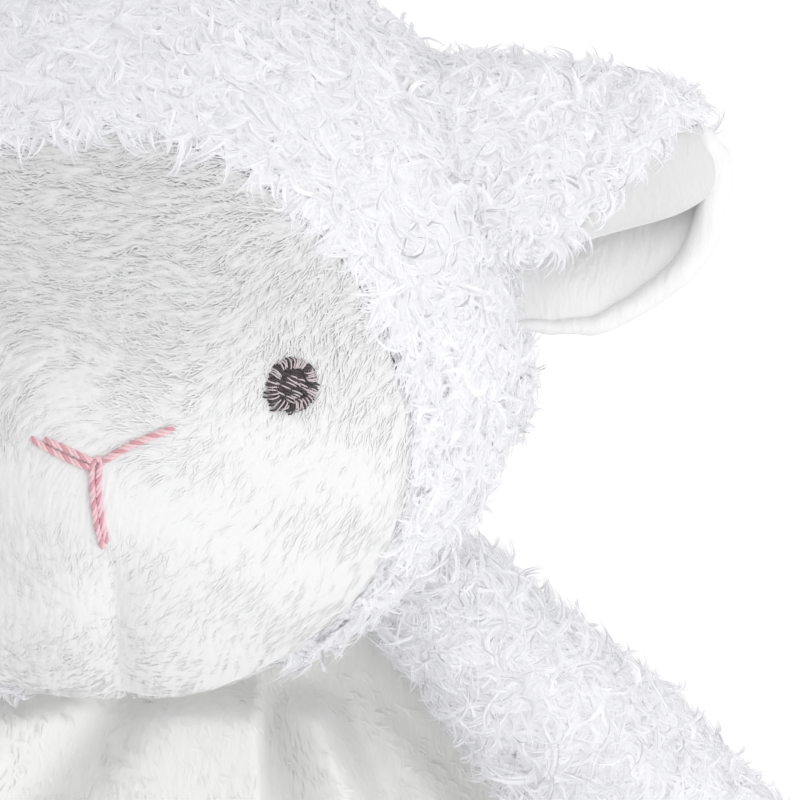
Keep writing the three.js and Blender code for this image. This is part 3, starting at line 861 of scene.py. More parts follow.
@dataclass(frozen=True)
class Cord:
    """A cord of embroidery thread, twisted from three strands.

    Attributes:
        node: Stitch of the record that it belongs to.
        bends: Start, middle and end seen from the front, from the middle of the head.
        thick: Half thickness of the cord.
        pitch: Length in which the strands turn round once.
    """

    node: str
    bends: tuple[tuple[float, float], tuple[float, float], tuple[float, float]]
    thick: float
    pitch: float = 2.3

    def strands(self) -> tuple[Array, Array]:
        """Lay the strands.

        Returns:
            Places seen from the front, 3 by P by 2, and heights over the cloth, 3 by P.
        """
        first, middle, last = (np.array(bend) for bend in self.bends)
        part = np.linspace(0.0, 1.0, 60)
        control = 2.0 * middle - 0.5 * (first + last)
        shares = np.stack([(1.0 - part) ** 2, 2.0 * part * (1.0 - part), part ** 2], axis=1)
        line = shares @ np.stack([first, control, last])
        along = unit(np.gradient(line, axis=0))
        beside = np.stack([-along[:, 1], along[:, 0]], axis=1)
        length = np.linalg.norm(np.diff(line, axis=0), axis=1).sum()
        ends = np.sqrt(np.maximum(0.0, 1.0 - (2.0 * part - 1.0) ** 10))
        phase = np.arange(3)[:, None] / 3.0 + part[None, :] * length / self.pitch
        turn = FULL_TURN * phase
        flat = line + beside * (0.55 * self.thick * np.cos(turn) * (0.4 + 0.6 * ends))[..., None]
        lift = self.thick * (0.75 + 0.55 * np.sin(turn)) * ends - 0.35 * (1.0 - ends)
        return flat, lift


# Head


@dataclass
class HeadForm:
    """The swelling form of the head, as in the CAD source, but with a deeper, narrower dart off its middle.

    Attributes are in millimetres or degrees and named like the sizes of the CAD source.
    """

    centre: Array = field(default_factory=lambda: np.array([0.0, 146.793, 37.0]))
    half: Array = field(default_factory=lambda: np.array([48.5, 44.5, 34.5]))
    fur_outside: float = 5.3
    face_outside: float = 4.0
    muzzle_swell: float = 8.5
    muzzle_tilt_deg: float = 28.0
    muzzle_spread_deg: float = 40.0
    dart_depth: float = 2.6
    dart_half_width: float = 3.0
    dart_top_deg: float = 16.0
    dart_end_deg: float = 74.0
    dart_fade_deg: float = 15.0
    dart_x: float = 1.4
    face_tilt_deg: float = 17.0
    face_reach_deg: float = 62.0
    face_longer_below_deg: float = 9.0
    face_narrower_side_deg: float = 7.0

    def __post_init__(self) -> None:
        """Derive the axes of the face and the muzzle."""
        tilt = math.radians(self.face_tilt_deg)
        muzzle = math.radians(self.muzzle_tilt_deg)
        self.face_axis = np.array([0.0, -math.sin(tilt), math.cos(tilt)])
        self.face_up = np.array([0.0, math.cos(tilt), math.sin(tilt)])
        self.muzzle_axis = np.array([0.0, -math.sin(muzzle), math.cos(muzzle)])

    def radius(self, directions: Array, offset: float) -> Array:
        """Distance from the middle of the head to a layer of it.

        Args:
            directions: Unit directions, last axis x, y, z.
            offset: How far the layer lies outside the stuffing.

        Returns:
            Distances.
        """
        ball = 1.0 / np.linalg.norm(directions / self.half, axis=-1)
        apart = np.degrees(np.arccos(np.clip(directions @ self.muzzle_axis, -1.0, 1.0)))
        swell = self.muzzle_swell * np.exp(-((apart / self.muzzle_spread_deg) ** 2))
        below = np.degrees(np.arctan2(-(directions @ self.face_up), directions @ self.face_axis))
        ends = smooth(below, self.dart_top_deg, self.dart_top_deg + self.dart_fade_deg)
        ends = ends * (1.0 - smooth(below, self.dart_end_deg - self.dart_fade_deg, self.dart_end_deg))
        crease = np.abs(directions[..., 0] * ball - self.dart_x) / self.dart_half_width
        dart = self.dart_depth * ends * np.exp(-(crease ** 1.3))
        total = ball + swell - dart + offset
        low = self.centre[2] - self.fur_outside + offset
        flat = low / np.maximum(-directions[..., 2], 1e-6)
        return np.where(directions[..., 2] < 0.0, np.minimum(total, flat), total)

    def point(self, directions: Array, offset: float) -> Array:
        """Place on a layer of the head.

        Args:
            directions: Unit directions.
            offset: How far the layer lies outside the stuffing.

        Returns:
            Places in the frame of the toy.
        """
        return self.centre + directions * self.radius(directions, offset)[..., None]

    def direction(self, from_axis: Array, turn: Array) -> Array:
        """Direction by its angle from the face axis and its turn round that axis.

        Args:
            from_axis: Angles from the face axis, in radians.
            turn: Turns, in radians, from the viewer's right towards the crown.

        Returns:
            Unit directions.
        """
        across = np.cos(turn)[..., None] * np.array([1.0, 0.0, 0.0]) + np.sin(turn)[..., None] * self.face_up
        return np.cos(from_axis)[..., None] * self.face_axis + np.sin(from_axis)[..., None] * across

    def seam(self, turn: Array) -> Array:
        """Angle from the face axis to the face seam.

        Args:
            turn: Turns round the face axis.

        Returns:
            Angles in radians.
        """
        longer = self.face_longer_below_deg * np.sin(turn)
        narrower = self.face_narrower_side_deg * np.cos(turn) ** 2
        return np.radians(self.face_reach_deg - longer - narrower)

    def polar(self, directions: Array) -> tuple[Array, Array]:
        """Angle from the face axis and turn round it.

        Args:
            directions: Unit directions.

        Returns:
            Angles and turns in radians.
        """
        from_axis = np.arccos(np.clip(directions @ self.face_axis, -1.0, 1.0))
        turn = np.arctan2(directions @ self.face_up, directions[..., 0])
        return from_axis, turn

    def normal(self, directions: Array, offset: float) -> Array:
        """Direction out of a layer of the head.

        Args:
            directions: Unit directions.
            offset: How far the layer lies outside the stuffing.

        Returns:
            Unit normals.
        """
        step = 0.01
        helper = np.where(np.abs(directions[..., 2:3]) > 0.9, [1.0, 0.0, 0.0], [0.0, 0.0, 1.0])
        first = unit(np.cross(directions, helper))
        second = np.cross(directions, first)
        here = self.point(directions, offset)
        one = self.point(unit(directions + first * step), offset) - here
        two = self.point(unit(directions + second * step), offset) - here
        found = unit(np.cross(one, two))
        return found * np.sign(np.sum(found * directions, axis=-1, keepdims=True))

    def over(self, x: Array, y: Array, offset: float) -> Array:
        """Direction in which the face stands over places seen from the front.

        Args:
            x: Places to the viewer's right of the middle of the head.
            y: Places above the middle of the head.
            offset: How far the layer lies outside the stuffing.

        Returns:
            Unit directions.
        """
        farthest = 90.0
        halvings = 40
        low = np.zeros_like(x, dtype=float)
        high = np.full_like(low, farthest)
        for _ in range(halvings):
            middle = (low + high) / 2.0
            trial = np.stack([x, y, middle], axis=-1)
            inside = np.linalg.norm(trial, axis=-1) < self.radius(unit(trial), offset)
            low = np.where(inside, middle, low)
            high = np.where(inside, high, middle)
        return unit(np.stack([x, y, low], axis=-1))


@dataclass
class Head:
    """Head with its face, fur and embroidery.

    Attributes:
        form: Form of the head.
        looks: Materials by name.
        nap_count: Tufts on the face.
        streak_depth: Depth of the streaks of its pile.
        brow_shade: Painted shade: how much darker the pile is made on the brow, the bridge and the viewer's
            left.
        lies: Places from the middle of the head and the direction of the pile there, in degrees.
        eye_at: Middle of the eye on the viewer's right, from the middle of the head.
        seam_share: Share of the way to the face seam that the face's tufts and the fur's cloth reach.
        front_density: Locks on a square millimetre of the front.
        back_density: Locks on a square millimetre of the back.
        root_offset: How far the roots of the fur lie outside the stuffing.
        chin_depth: How much deeper they lie under the chin.
        back_start: Height of a direction below which the back of the head starts.
        fur_floor: Lowest height that a wisp of fur may reach.
    """

    form: HeadForm
    looks: dict[str, bpy.types.Material]
    nap_count: int = 14000
    streak_depth: float = 0.12
    brow_shade: float = 0.12
    lies: Sequence[tuple[float, float, float]] = (
        (12.0, 16.0, 186.0), (-6.0, 12.0, 176.0), (3.0, -7.0, 162.0), (24.0, -9.0, 237.0),
        (31.0, -24.0, 237.0), (15.0, -36.0, 246.0), (-4.0, -32.0, 268.0), (-24.0, -28.0, 300.0),
        (-24.0, -9.0, 303.0), (32.0, 10.0, 222.0), (-32.0, 10.0, 140.0),
    )
    eye_at: tuple[float, float] = (24.1, -8.8)
    seam_share: float = 0.985
    front_density: float = 0.9
    back_density: float = 0.36
    root_offset: float = 3.7
    chin_depth: float = 2.2
    back_start: float = -0.25
    fur_floor: float = 0.3

    def build(self) -> None:
        """Build every piece of the head."""
        self.build_face()
        self.build_nap()
        self.build_under_fur()
        self.build_fur()
        self.build_fringe()
        self.build_seam()
        for side in Side:
            self.build_eye(side)
        self.build_mouth()

    def face_offset(self, directions: Array) -> Array:
        """Offset of the face cloth, with dimples where the embroidery pulls it in.

        Args:
            directions: Unit directions.

        Returns:
            Offsets from the stuffing.
        """
        below_pile = 0.5
        eye_dimple, eye_reach = 0.7, 6.0
        bridge_dimple, bridge_reach = 0.9, 7.0
        places = self.form.point(directions, self.form.face_outside) - self.form.centre
        offset = np.full(directions.shape[:-1], self.form.face_outside - below_pile)
        for side in Side:
            apart = np.hypot(places[..., 0] - side.value * self.eye_at[0], places[..., 1] - self.eye_at[1])
            offset = offset - eye_dimple * np.exp(-((apart / eye_reach) ** 2))
        bridge = np.hypot(places[..., 0] - 1.0, (places[..., 1] + 12.0) * 0.8)
        offset = offset - bridge_dimple * np.exp(-((bridge / bridge_reach) ** 2))
        return offset + 0.25 * ripple(places, 17.0, 3)

    def on_face(self, flat: Array, lift: Array) -> Array:
        """Place over the face cloth, given as it is seen from the front.

        Args:
            flat: Places from the middle of the head, last axis x, y.
            lift: Heights over the cloth.

        Returns:
            Places in the frame of the toy.
        """
        directions = self.form.over(flat[..., 0], flat[..., 1], self.form.face_outside)
        return self.face_point(directions, lift)

    def face_point(self, directions: Array, lift: Array | float = 0.0) -> Array:
        """Place on the face cloth.

        Args:
            directions: Unit directions.
            lift: Height over the cloth.

        Returns:
            Places in the frame of the toy.
        """
        radius = self.form.radius(directions, 0.0) + self.face_offset(directions) + lift
        return self.form.centre + directions * radius[..., None]

    def build_face(self) -> None:
        """Build the face cloth with streaks of brushed pile."""
        rows, columns = 195, 1000
        edge_tuck = 2.2
        part = np.linspace(0.0, 1.0, rows)[:, None]
        turn = np.linspace(0.0, FULL_TURN, columns, endpoint=False)[None, :]
        directions = self.form.direction(part * self.form.seam(turn), turn + 0.0 * part)
        tuck = edge_tuck * smooth(part + 0.0 * turn, 0.93, 1.0)
        points = self.face_point(directions)
        corner = self.form.centre[:2]
        streaks = BrushedField(low=tuple(corner - 58.0), high=tuple(corner + 46.0), seed=13)
        streaks.draw(self.brushing)
        relief = self.streak_depth * self.lie_strength(points) * streaks.sample(points)
        points = points + directions * (relief - tuck)[..., None]
        # Painted shade on the brow, the bridge and the left of the face, carried as tone.
        tone = self.lie_tone(points)
        quads = grid_faces(rows, columns, True)
        face = mesh_piece("face_cloth", points, quads, self.looks["face"], tone=tone, flip=True)
        attach(face, "head")
        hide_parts("face_panel", "face_backing")

    def build_nap(self) -> None:
        """Lay loose tufts over the face cloth."""
        rng = np.random.default_rng(11)
        share = np.sqrt(rng.uniform(0.0, 1.0, self.nap_count))
        around = rng.uniform(0.0, FULL_TURN, self.nap_count)
        roots = self.form.direction(share * self.form.seam(around) * self.seam_share, around)
        places = self.face_point(roots)
        normals = self.form.normal(roots, self.form.face_outside)
        height = self.lie_strength(places) ** 1.3
        points, quads, shaded = NapStyle().grow(places, normals, self.brushing(places), 12, height)
        # The tufts carry the same painted shade as the face cloth.
        tone = np.repeat(self.lie_tone(places), len(points) // len(places))
        nap = mesh_piece("face_nap", points, quads, self.looks["face_nap"], shaded, tone)
        attach(nap, "head")

    def brushing(self, places: Array) -> Array:
        """Direction that the pile of the face is brushed in.

        Args:
            places: Places on the face, N by 3.

        Returns:
            Directions seen from the front.
        """
        flat = places[:, :2] - self.form.centre[:2]
        total = np.zeros((len(places), 2))
        for x, y, angle in self.lies:
            weight = 1.0 / (np.sum((flat - [x, y]) ** 2, axis=1) + 30.0) ** 1.5
            total += weight[:, None] * [math.cos(math.radians(angle)), math.sin(math.radians(angle))]
        turn = np.arctan2(total[:, 1], total[:, 0]) + 0.22 * ripple(places * [1.0, 1.0, 0.0], 9.0, 8)
        return np.stack([np.cos(turn), np.sin(turn), np.zeros_like(turn)], axis=-1)

    def lie_strength(self, places: Array) -> Array:
        """Share of the streaks that shows: most on the brow and the bridge of the nose.

        Args:
            places: Places on the face.

        Returns:
            Shares.
        """
        y = places[..., 1] - self.form.centre[1]
        return 0.30 + 0.70 * smooth(y, -24.0, -2.0)

    def lie_tone(self, places: Array) -> Array:
        """Painted shade: greyer pile on the brow and bridge, also brushed up there, and on the face's left.

        Args:
            places: Places on the face.

        Returns:
            Brightness, 1 where no shade is painted.
        """
        x = places[..., 0] - self.form.centre[0]
        y = places[..., 1] - self.form.centre[1]
        # Painted shade: darker on the brow and the bridge and, less, on the viewer's left side of the face.
        brow = np.exp(-((x - 8.0) / 24.0) ** 2) * smooth(y, -16.0, 2.0)
        left = 0.35 * smooth(-x, -2.0, 8.0) * (1.0 - brow)
        return 1.0 - self.brow_shade * (brow + left)

    def build_under_fur(self) -> None:
        """Build the cloth that the long pile stands on."""
        rows, columns = 70, 71
        edge_tuck = 2.6
        lowest = 0.4
        part = np.linspace(0.0, 1.0, rows)[:, None]
        for side in Side:
            middle = 0.0 if side is Side.RIGHT else math.pi
            turn = np.linspace(middle - math.pi / 2.0, middle + math.pi / 2.0, columns)[None, :]
            from_axis = self.form.seam(turn) * (1.0 - part) * self.seam_share + part * math.pi
            directions = self.form.direction(from_axis, turn + 0.0 * part)
            points = self.form.point(directions, self.root_offset)
            tuck = edge_tuck * (1.0 - smooth(part + 0.0 * turn, 0.0, 0.06))
            tuck = tuck + self.chin_depth * self.chin_share(directions)
            points = points + directions * (0.7 * ripple(points, 6.5, 5) - tuck)[..., None]
            points[..., 2] = np.maximum(points[..., 2], lowest)
            name = f"head_under_fur_{side.word}"
            cloth = mesh_piece(name, points, grid_faces(rows, columns), self.looks["under_fur"], flip=True)
            attach(cloth, "head")
            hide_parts(f"head_fur_{side.word}")
            if side is Side.RIGHT:
                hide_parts("head_stuffing")

    def build_fur(self) -> None:
        """Grow the curly pile, in pieces of moderate size."""
        tries = 60000
        rng = np.random.default_rng(21)
        directions = unit(rng.normal(size=(tries, 3)))
        from_axis, turn = self.form.polar(directions)
        outside = from_axis > self.form.seam(turn) + 0.03 * smooth(np.sin(turn), -0.4, 0.0)
        directions = directions[outside]
        radius = self.form.radius(directions, self.root_offset)
        density = np.where(directions[:, 2] > self.back_start, self.front_density, self.back_density)
        area = 4.0 * math.pi * radius ** 2 / tries
        kept = rng.uniform(size=len(directions)) < area * density
        directions = directions[kept]
        chin = self.chin_share(directions)
        lift = self.tuft_lift(directions) - self.chin_depth * chin
        roots = self.form.point(directions, self.root_offset) + directions * lift[:, None]
        normals = self.form.normal(directions, self.root_offset)
        combs = self.combing(directions)
        under = chin > 0.5
        front = (directions[:, 2] > self.back_start) & ~under
        upper = directions[:, 1] > 0.35
        right = directions[:, 0] > 0.0
        groups = {"head_fur_chin": under}
        for word, zone in (("crown", front & upper), ("front", front & ~upper), ("back", ~front & ~under)):
            groups[f"head_fur_{word}_right"] = zone & right
            groups[f"head_fur_{word}_left"] = zone & ~right
        for number, (name, chosen) in enumerate(groups.items()):
            style = LockStyle(wisps=3, width=(0.4, 0.9)) if "back" in name else LockStyle()
            if name == "head_fur_chin":
                style = LockStyle(length=(3.0, 5.0), lift_deg=8.0, raised=0.0, layer=(0.25, 0.7))
            places = (roots[chosen], normals[chosen], combs[chosen])
            attach(style.grow(name, self.looks["fur"], *places, 30 + number, self.fur_floor), "head")
            LOG.info("%s: %d locks", name, chosen.sum())

    def chin_share(self, directions: Array) -> Array:
        """Share of the part under the chin, where the fur is pressed flat between head and blanket.

        Args:
            directions: Unit directions.

        Returns:
            Shares, 1 under the chin.
        """
        across = directions[..., 0] * self.form.radius(directions, 0.0)
        beside = smooth(across, -11.0, -8.4) * (1.0 - smooth(across, 20.0, 23.0))
        return beside * smooth(-directions[..., 1], 0.25, 0.45) * smooth(directions[..., 2], -0.5, -0.3)

    def tuft_lift(self, directions: Array) -> Array:
        """Extra height of the fur beside the ears and on the cheeks.

        Args:
            directions: Unit directions.

        Returns:
            Heights.
        """
        angle = np.degrees(np.arctan2(directions[..., 1], np.abs(directions[..., 0])))
        beside = np.exp(-((directions[..., 2] / 0.5) ** 2))
        crown = 2.2 * np.exp(-(((angle - 43.0) / 12.0) ** 2))
        cheek = 1.6 * np.exp(-(((angle + 11.0) / 6.0) ** 2))
        return (crown + cheek) * beside

    def build_fringe(self) -> None:
        """Grow the locks that hang over the upper edge of the face."""
        rng = np.random.default_rng(26)
        count = 1100
        turn = np.radians(rng.uniform(-58.0, 238.0, count))
        from_axis = self.form.seam(turn) + rng.uniform(-0.01, 0.09, count) - 0.008 * self.lower_share(turn)
        directions = self.form.direction(from_axis, turn)
        directions = directions[self.chin_share(directions) < 0.5]
        turn = self.form.polar(directions)[1]
        roots = self.form.point(directions, self.root_offset) - directions * self.lower_share(turn)[:, None]
        normals = self.form.normal(directions, self.root_offset)
        inward = self.inward(turn)
        down = np.array([0.0, -0.6, 0.0]) * (inward < 0.0)
        combs = self.form.face_axis * 1.2 * inward + down + swirl(roots, 12.0, 27) * 0.5
        upper = smooth(np.sin(turn), -0.2, 0.7)
        kinds = (("short", (3.0, 5.5), upper < 0.5), ("long", (5.0, 8.5), upper >= 0.5))
        for word, length, chosen in kinds:
            style = LockStyle(length=length, curl_deg=(40.0, 160.0), lift_deg=26.0, scatter=0.35)
            name = f"head_fur_fringe_{word}"
            places = (roots[chosen], normals[chosen], combs[chosen])
            attach(style.grow(name, self.looks["fur"], *places, 26, self.fur_floor), "head")

    def lower_share(self, turn: Array) -> Array:
        """Share of the lower edge of the face.

        Args:
            turn: Turns round the face axis.

        Returns:
            Shares, 1 at the chin.
        """
        return 1.0 - smooth(np.sin(turn), -0.5, -0.1)

    def inward(self, turn: Array) -> Array:
        """Way that the fur at the face seam is combed.

        Args:
            turn: Turns round the face axis.

        Returns:
            Column of values, 1 towards the face and -1 away from it, which it is at the chin.
        """
        return 2.0 * smooth(np.sin(turn), -0.7, -0.2)[:, None] - 1.0

    def combing(self, directions: Array) -> Array:
        """Direction that the long pile is combed in.

        Args:
            directions: Unit directions of the roots.

        Returns:
            Directions, towards the face near its seam and down elsewhere.
        """
        from_axis, turn = self.form.polar(directions)
        near = np.exp(-((from_axis - self.form.seam(turn)) / 0.16))[:, None]
        places = self.form.point(directions, self.root_offset)
        down = np.array([0.0, -0.35, 0.1])
        return self.form.face_axis * near * self.inward(turn) * 1.1 + down + swirl(places, 15.0, 22) * 0.9

    def build_seam(self) -> None:
        """Build the row of stitches that joins face and fur."""
        stitch_count = 120
        stitch_turn = 0.04
        beyond_seam = 0.004
        height = 1.9
        radius, end_radius = 0.28, 0.12
        paths = []
        for start in np.linspace(0.0, FULL_TURN, stitch_count, endpoint=False):
            along = start + np.linspace(0.0, stitch_turn, 5)
            directions = self.form.direction(self.form.seam(along) + beyond_seam, along)
            paths.append(self.form.point(directions, height))
        paths = np.stack(paths)
        radii = np.full(paths.shape[:2], radius)
        radii[:, [0, -1]] = end_radius
        points, quads = tubes(paths, radii, 5, self.form.face_axis[None])
        seam = mesh_piece("face_seam_stitches", points, quads, self.looks["thread"])
        attach(seam, "head")
        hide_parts("face_seam_thread")

    def stitches(self, ends: Array, bows: Array, lift: float, radius: float) -> tuple[Array, Array]:
        """Lay slightly bowed stitches over the face.

        Args:
            ends: Start and end of each stitch seen from the front, N by 2 by 2, from the middle of the head.
            bows: How far the middle of each stitch stands aside.
            lift: Height of the middle of a stitch over the cloth.
            radius: Half the thickness of the thread.

        Returns:
            Points and quads.
        """
        foot = 0.15
        sunk = 0.35
        part = np.linspace(0.0, 1.0, 7)
        run = ends[:, 1:] - ends[:, :1]
        aside = unit(np.stack([-run[..., 1], run[..., 0]], axis=-1)) * bows[:, None, None]
        flat = ends[:, :1] + run * part[None, :, None] + aside * np.sin(math.pi * part)[None, :, None]
        arch = np.sqrt(np.maximum(0.0, 1.0 - (2.0 * part - 1.0) ** 4))
        height = foot + (lift - foot) * arch[None, :] - sunk * (1.0 - arch[None, :])
        return tubes(self.on_face(flat, height), radius, 6)

    def eye_stitches(self, rng: np.random.Generator) -> dict[tuple[str, str], list[Array]]:
        """Plan the stitches of an eye on the viewer's right, in shares of its half sizes.

        Args:
            rng: Source of the random values.

        Returns:
            Start and end of each stitch, by part of the eye and by dark thread or light thread, the painted
            highlights.
        """
        slant = 0.27
        # Shares of stitches in the light thread, which paints the sheen highlights.
        light_fill, light_border = 0.55, 0.46
        long_corner = math.radians(222.0)
        long_low = math.radians(272.0)
        plan = {(part, shade): [] for part in ("fill", "border") for shade in ("dark", "light")}
        for row in np.linspace(-0.64, 0.64, 15):
            reach = math.sqrt(max(0.0, 0.50 - row * row)) + 0.04
            start = -reach + rng.uniform(-0.08, 0.02)
            while start < reach:
                end = min(start + rng.uniform(0.26, 0.52), reach + 0.06)
                rise = rng.normal(0.0, 0.02)
                shade = "light" if rng.uniform() < light_fill else "dark"
                stitch = [[start, row - slant * start], [end, row - slant * end + rise]]
                plan["fill", shade].append(np.array(stitch))
                start = end + 0.01
        for angle in np.linspace(0.0, FULL_TURN, 78, endpoint=False):
            lean = angle + rng.normal(0.0, 0.03) + 0.10
            inner = rng.uniform(0.52, 0.66)
            outer = rng.uniform(0.93, 1.03)
            outer += rng.uniform(0.0, 0.20) if math.cos(angle - long_corner) > 0.92 else 0.0
            outer += rng.uniform(-0.06, 0.12) if math.cos(angle - long_low) > 0.85 else 0.0
            shade = "light" if rng.uniform() < light_border else "dark"
            inside = [inner * math.cos(lean), inner * math.sin(lean)]
            outside = [outer * math.cos(angle), outer * math.sin(angle)]
            plan["border", shade].append(np.array([inside, outside]))
        return plan

    def build_eye(self, side: Side) -> None:
        """Embroider one eye: a filled middle and a border of radial stitches, some in light thread as
        painted highlights.

        Args:
            side: Side of the eye.
        """
        rng = np.random.default_rng(41 if side is Side.RIGHT else 42)
        middle = np.array([side.value * self.eye_at[0], self.eye_at[1]])
        size = np.array([3.2, 3.5])
        tilt = math.radians(-10.0)
        turned = np.array([[math.cos(tilt), math.sin(tilt)], [-math.sin(tilt), math.cos(tilt)]])
        mirror = np.array([side.value, 1.0])
        lifts = {"fill": 0.62, "border": 0.80}
        # The light thread is a lighter copy of the dark one: painted highlights.
        threads = {"dark": ("eye", 0.0, 0.12), "light": ("eye_light", 0.07, 0.095)}
        for (part, shade), found in self.eye_stitches(rng).items():
            ends = middle + (np.stack(found) * size) @ turned * mirror
            bows = rng.normal(0.0, 0.09, len(ends))
            look, raised, radius = threads[shade]
            points, quads = self.stitches(ends, bows, lifts[part] + raised, radius)
            piece = mesh_piece(f"eye_{side.word}_{part}_{shade}", points, quads, self.looks[look])
            attach(piece, "head")
            if (part, shade) == ("fill", "dark"):
                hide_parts(f"eye_{side.word}")
        self.build_eye_pad(side, middle, size)

    def build_eye_pad(self, side: Side, middle: Array, size: Array) -> None:
        """Build the dark ground under the stitches of an eye.

        Args:
            side: Side of the eye.
            middle: Middle of the eye seen from the front.
            size: Half width and half height.
        """
        rows, columns = 10, 40
        share = 0.93
        out = np.linspace(0.0, 1.0, rows)[:, None]
        turn = np.linspace(0.0, FULL_TURN, columns + 1)[None, :-1]
        x = middle[0] + size[0] * share * out * np.cos(turn)
        y = middle[1] + size[1] * share * out * np.sin(turn)
        lift = 0.62 * np.sqrt(np.maximum(0.0, 1.0 - out ** 3)) - 0.2 + 0.0 * turn
        points = self.on_face(np.stack([x, y], axis=-1), lift)
        quads = grid_faces(rows, columns, True)
        pad = mesh_piece(f"eye_{side.word}_ground", points, quads, self.looks["eye"], flip=True)
        attach(pad, "head")

    def build_mouth(self) -> None:
        """Embroider the pink Y of nose and mouth from twisted cords, two strands of each in lighter pink as
        painted highlights.
        """
        cords = (
            Cord("nose_stitch_left", ((-7.9, -15.3), (-4.2, -17.5), (-0.3, -19.2)), 0.40),
            Cord("nose_stitch_left", ((-6.2, -15.5), (-3.2, -16.9), (-0.1, -18.4)), 0.38),
            Cord("nose_stitch_right", ((0.7, -18.5), (5.1, -15.9), (9.7, -14.0)), 0.43),
            Cord("mouth_stitch", ((-0.35, -18.2), (-0.15, -23.4), (0.85, -28.9)), 0.42),
            Cord("mouth_stitch", ((0.75, -18.2), (0.45, -22.4), (1.35, -28.2)), 0.38),
            Cord("mouth_stitch", ((-0.3, -18.9), (0.3, -17.9), (0.9, -18.8)), 0.34),
        )
        strand_share = 0.52
        dressed = set()
        for number, cord in enumerate(cords):
            paths = self.on_face(*cord.strands())
            # Two strands of each cord take the lighter pink, which paints their highlights.
            for shade, look, chosen in (("dark", "mouth", paths[:1]), ("light", "mouth_light", paths[1:])):
                points, quads = tubes(chosen, cord.thick * strand_share, 8)
                piece = mesh_piece(f"{cord.node}_cord_{number}_{shade}", points, quads, self.looks[look])
                attach(piece, "head")
                if cord.node not in dressed:
                    dressed.add(cord.node)
                    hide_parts(cord.node)


# Ears


def softened(value: Array, reach: float, places: Sequence[float], marks: Sequence[float]) -> Array:
    """Read a line through marks with its corners rounded off.

    Args:
        value: Where the line is read.
        reach: How far to each side a corner is rounded.
        places: Places of the marks.
        marks: Heights of the marks.

    Returns:
        Heights of the line.
    """
    moves = np.linspace(-reach, reach, len(SOFTENING))
    return sum(share * np.interp(value + move, places, marks) for share, move in zip(SOFTENING, moves))


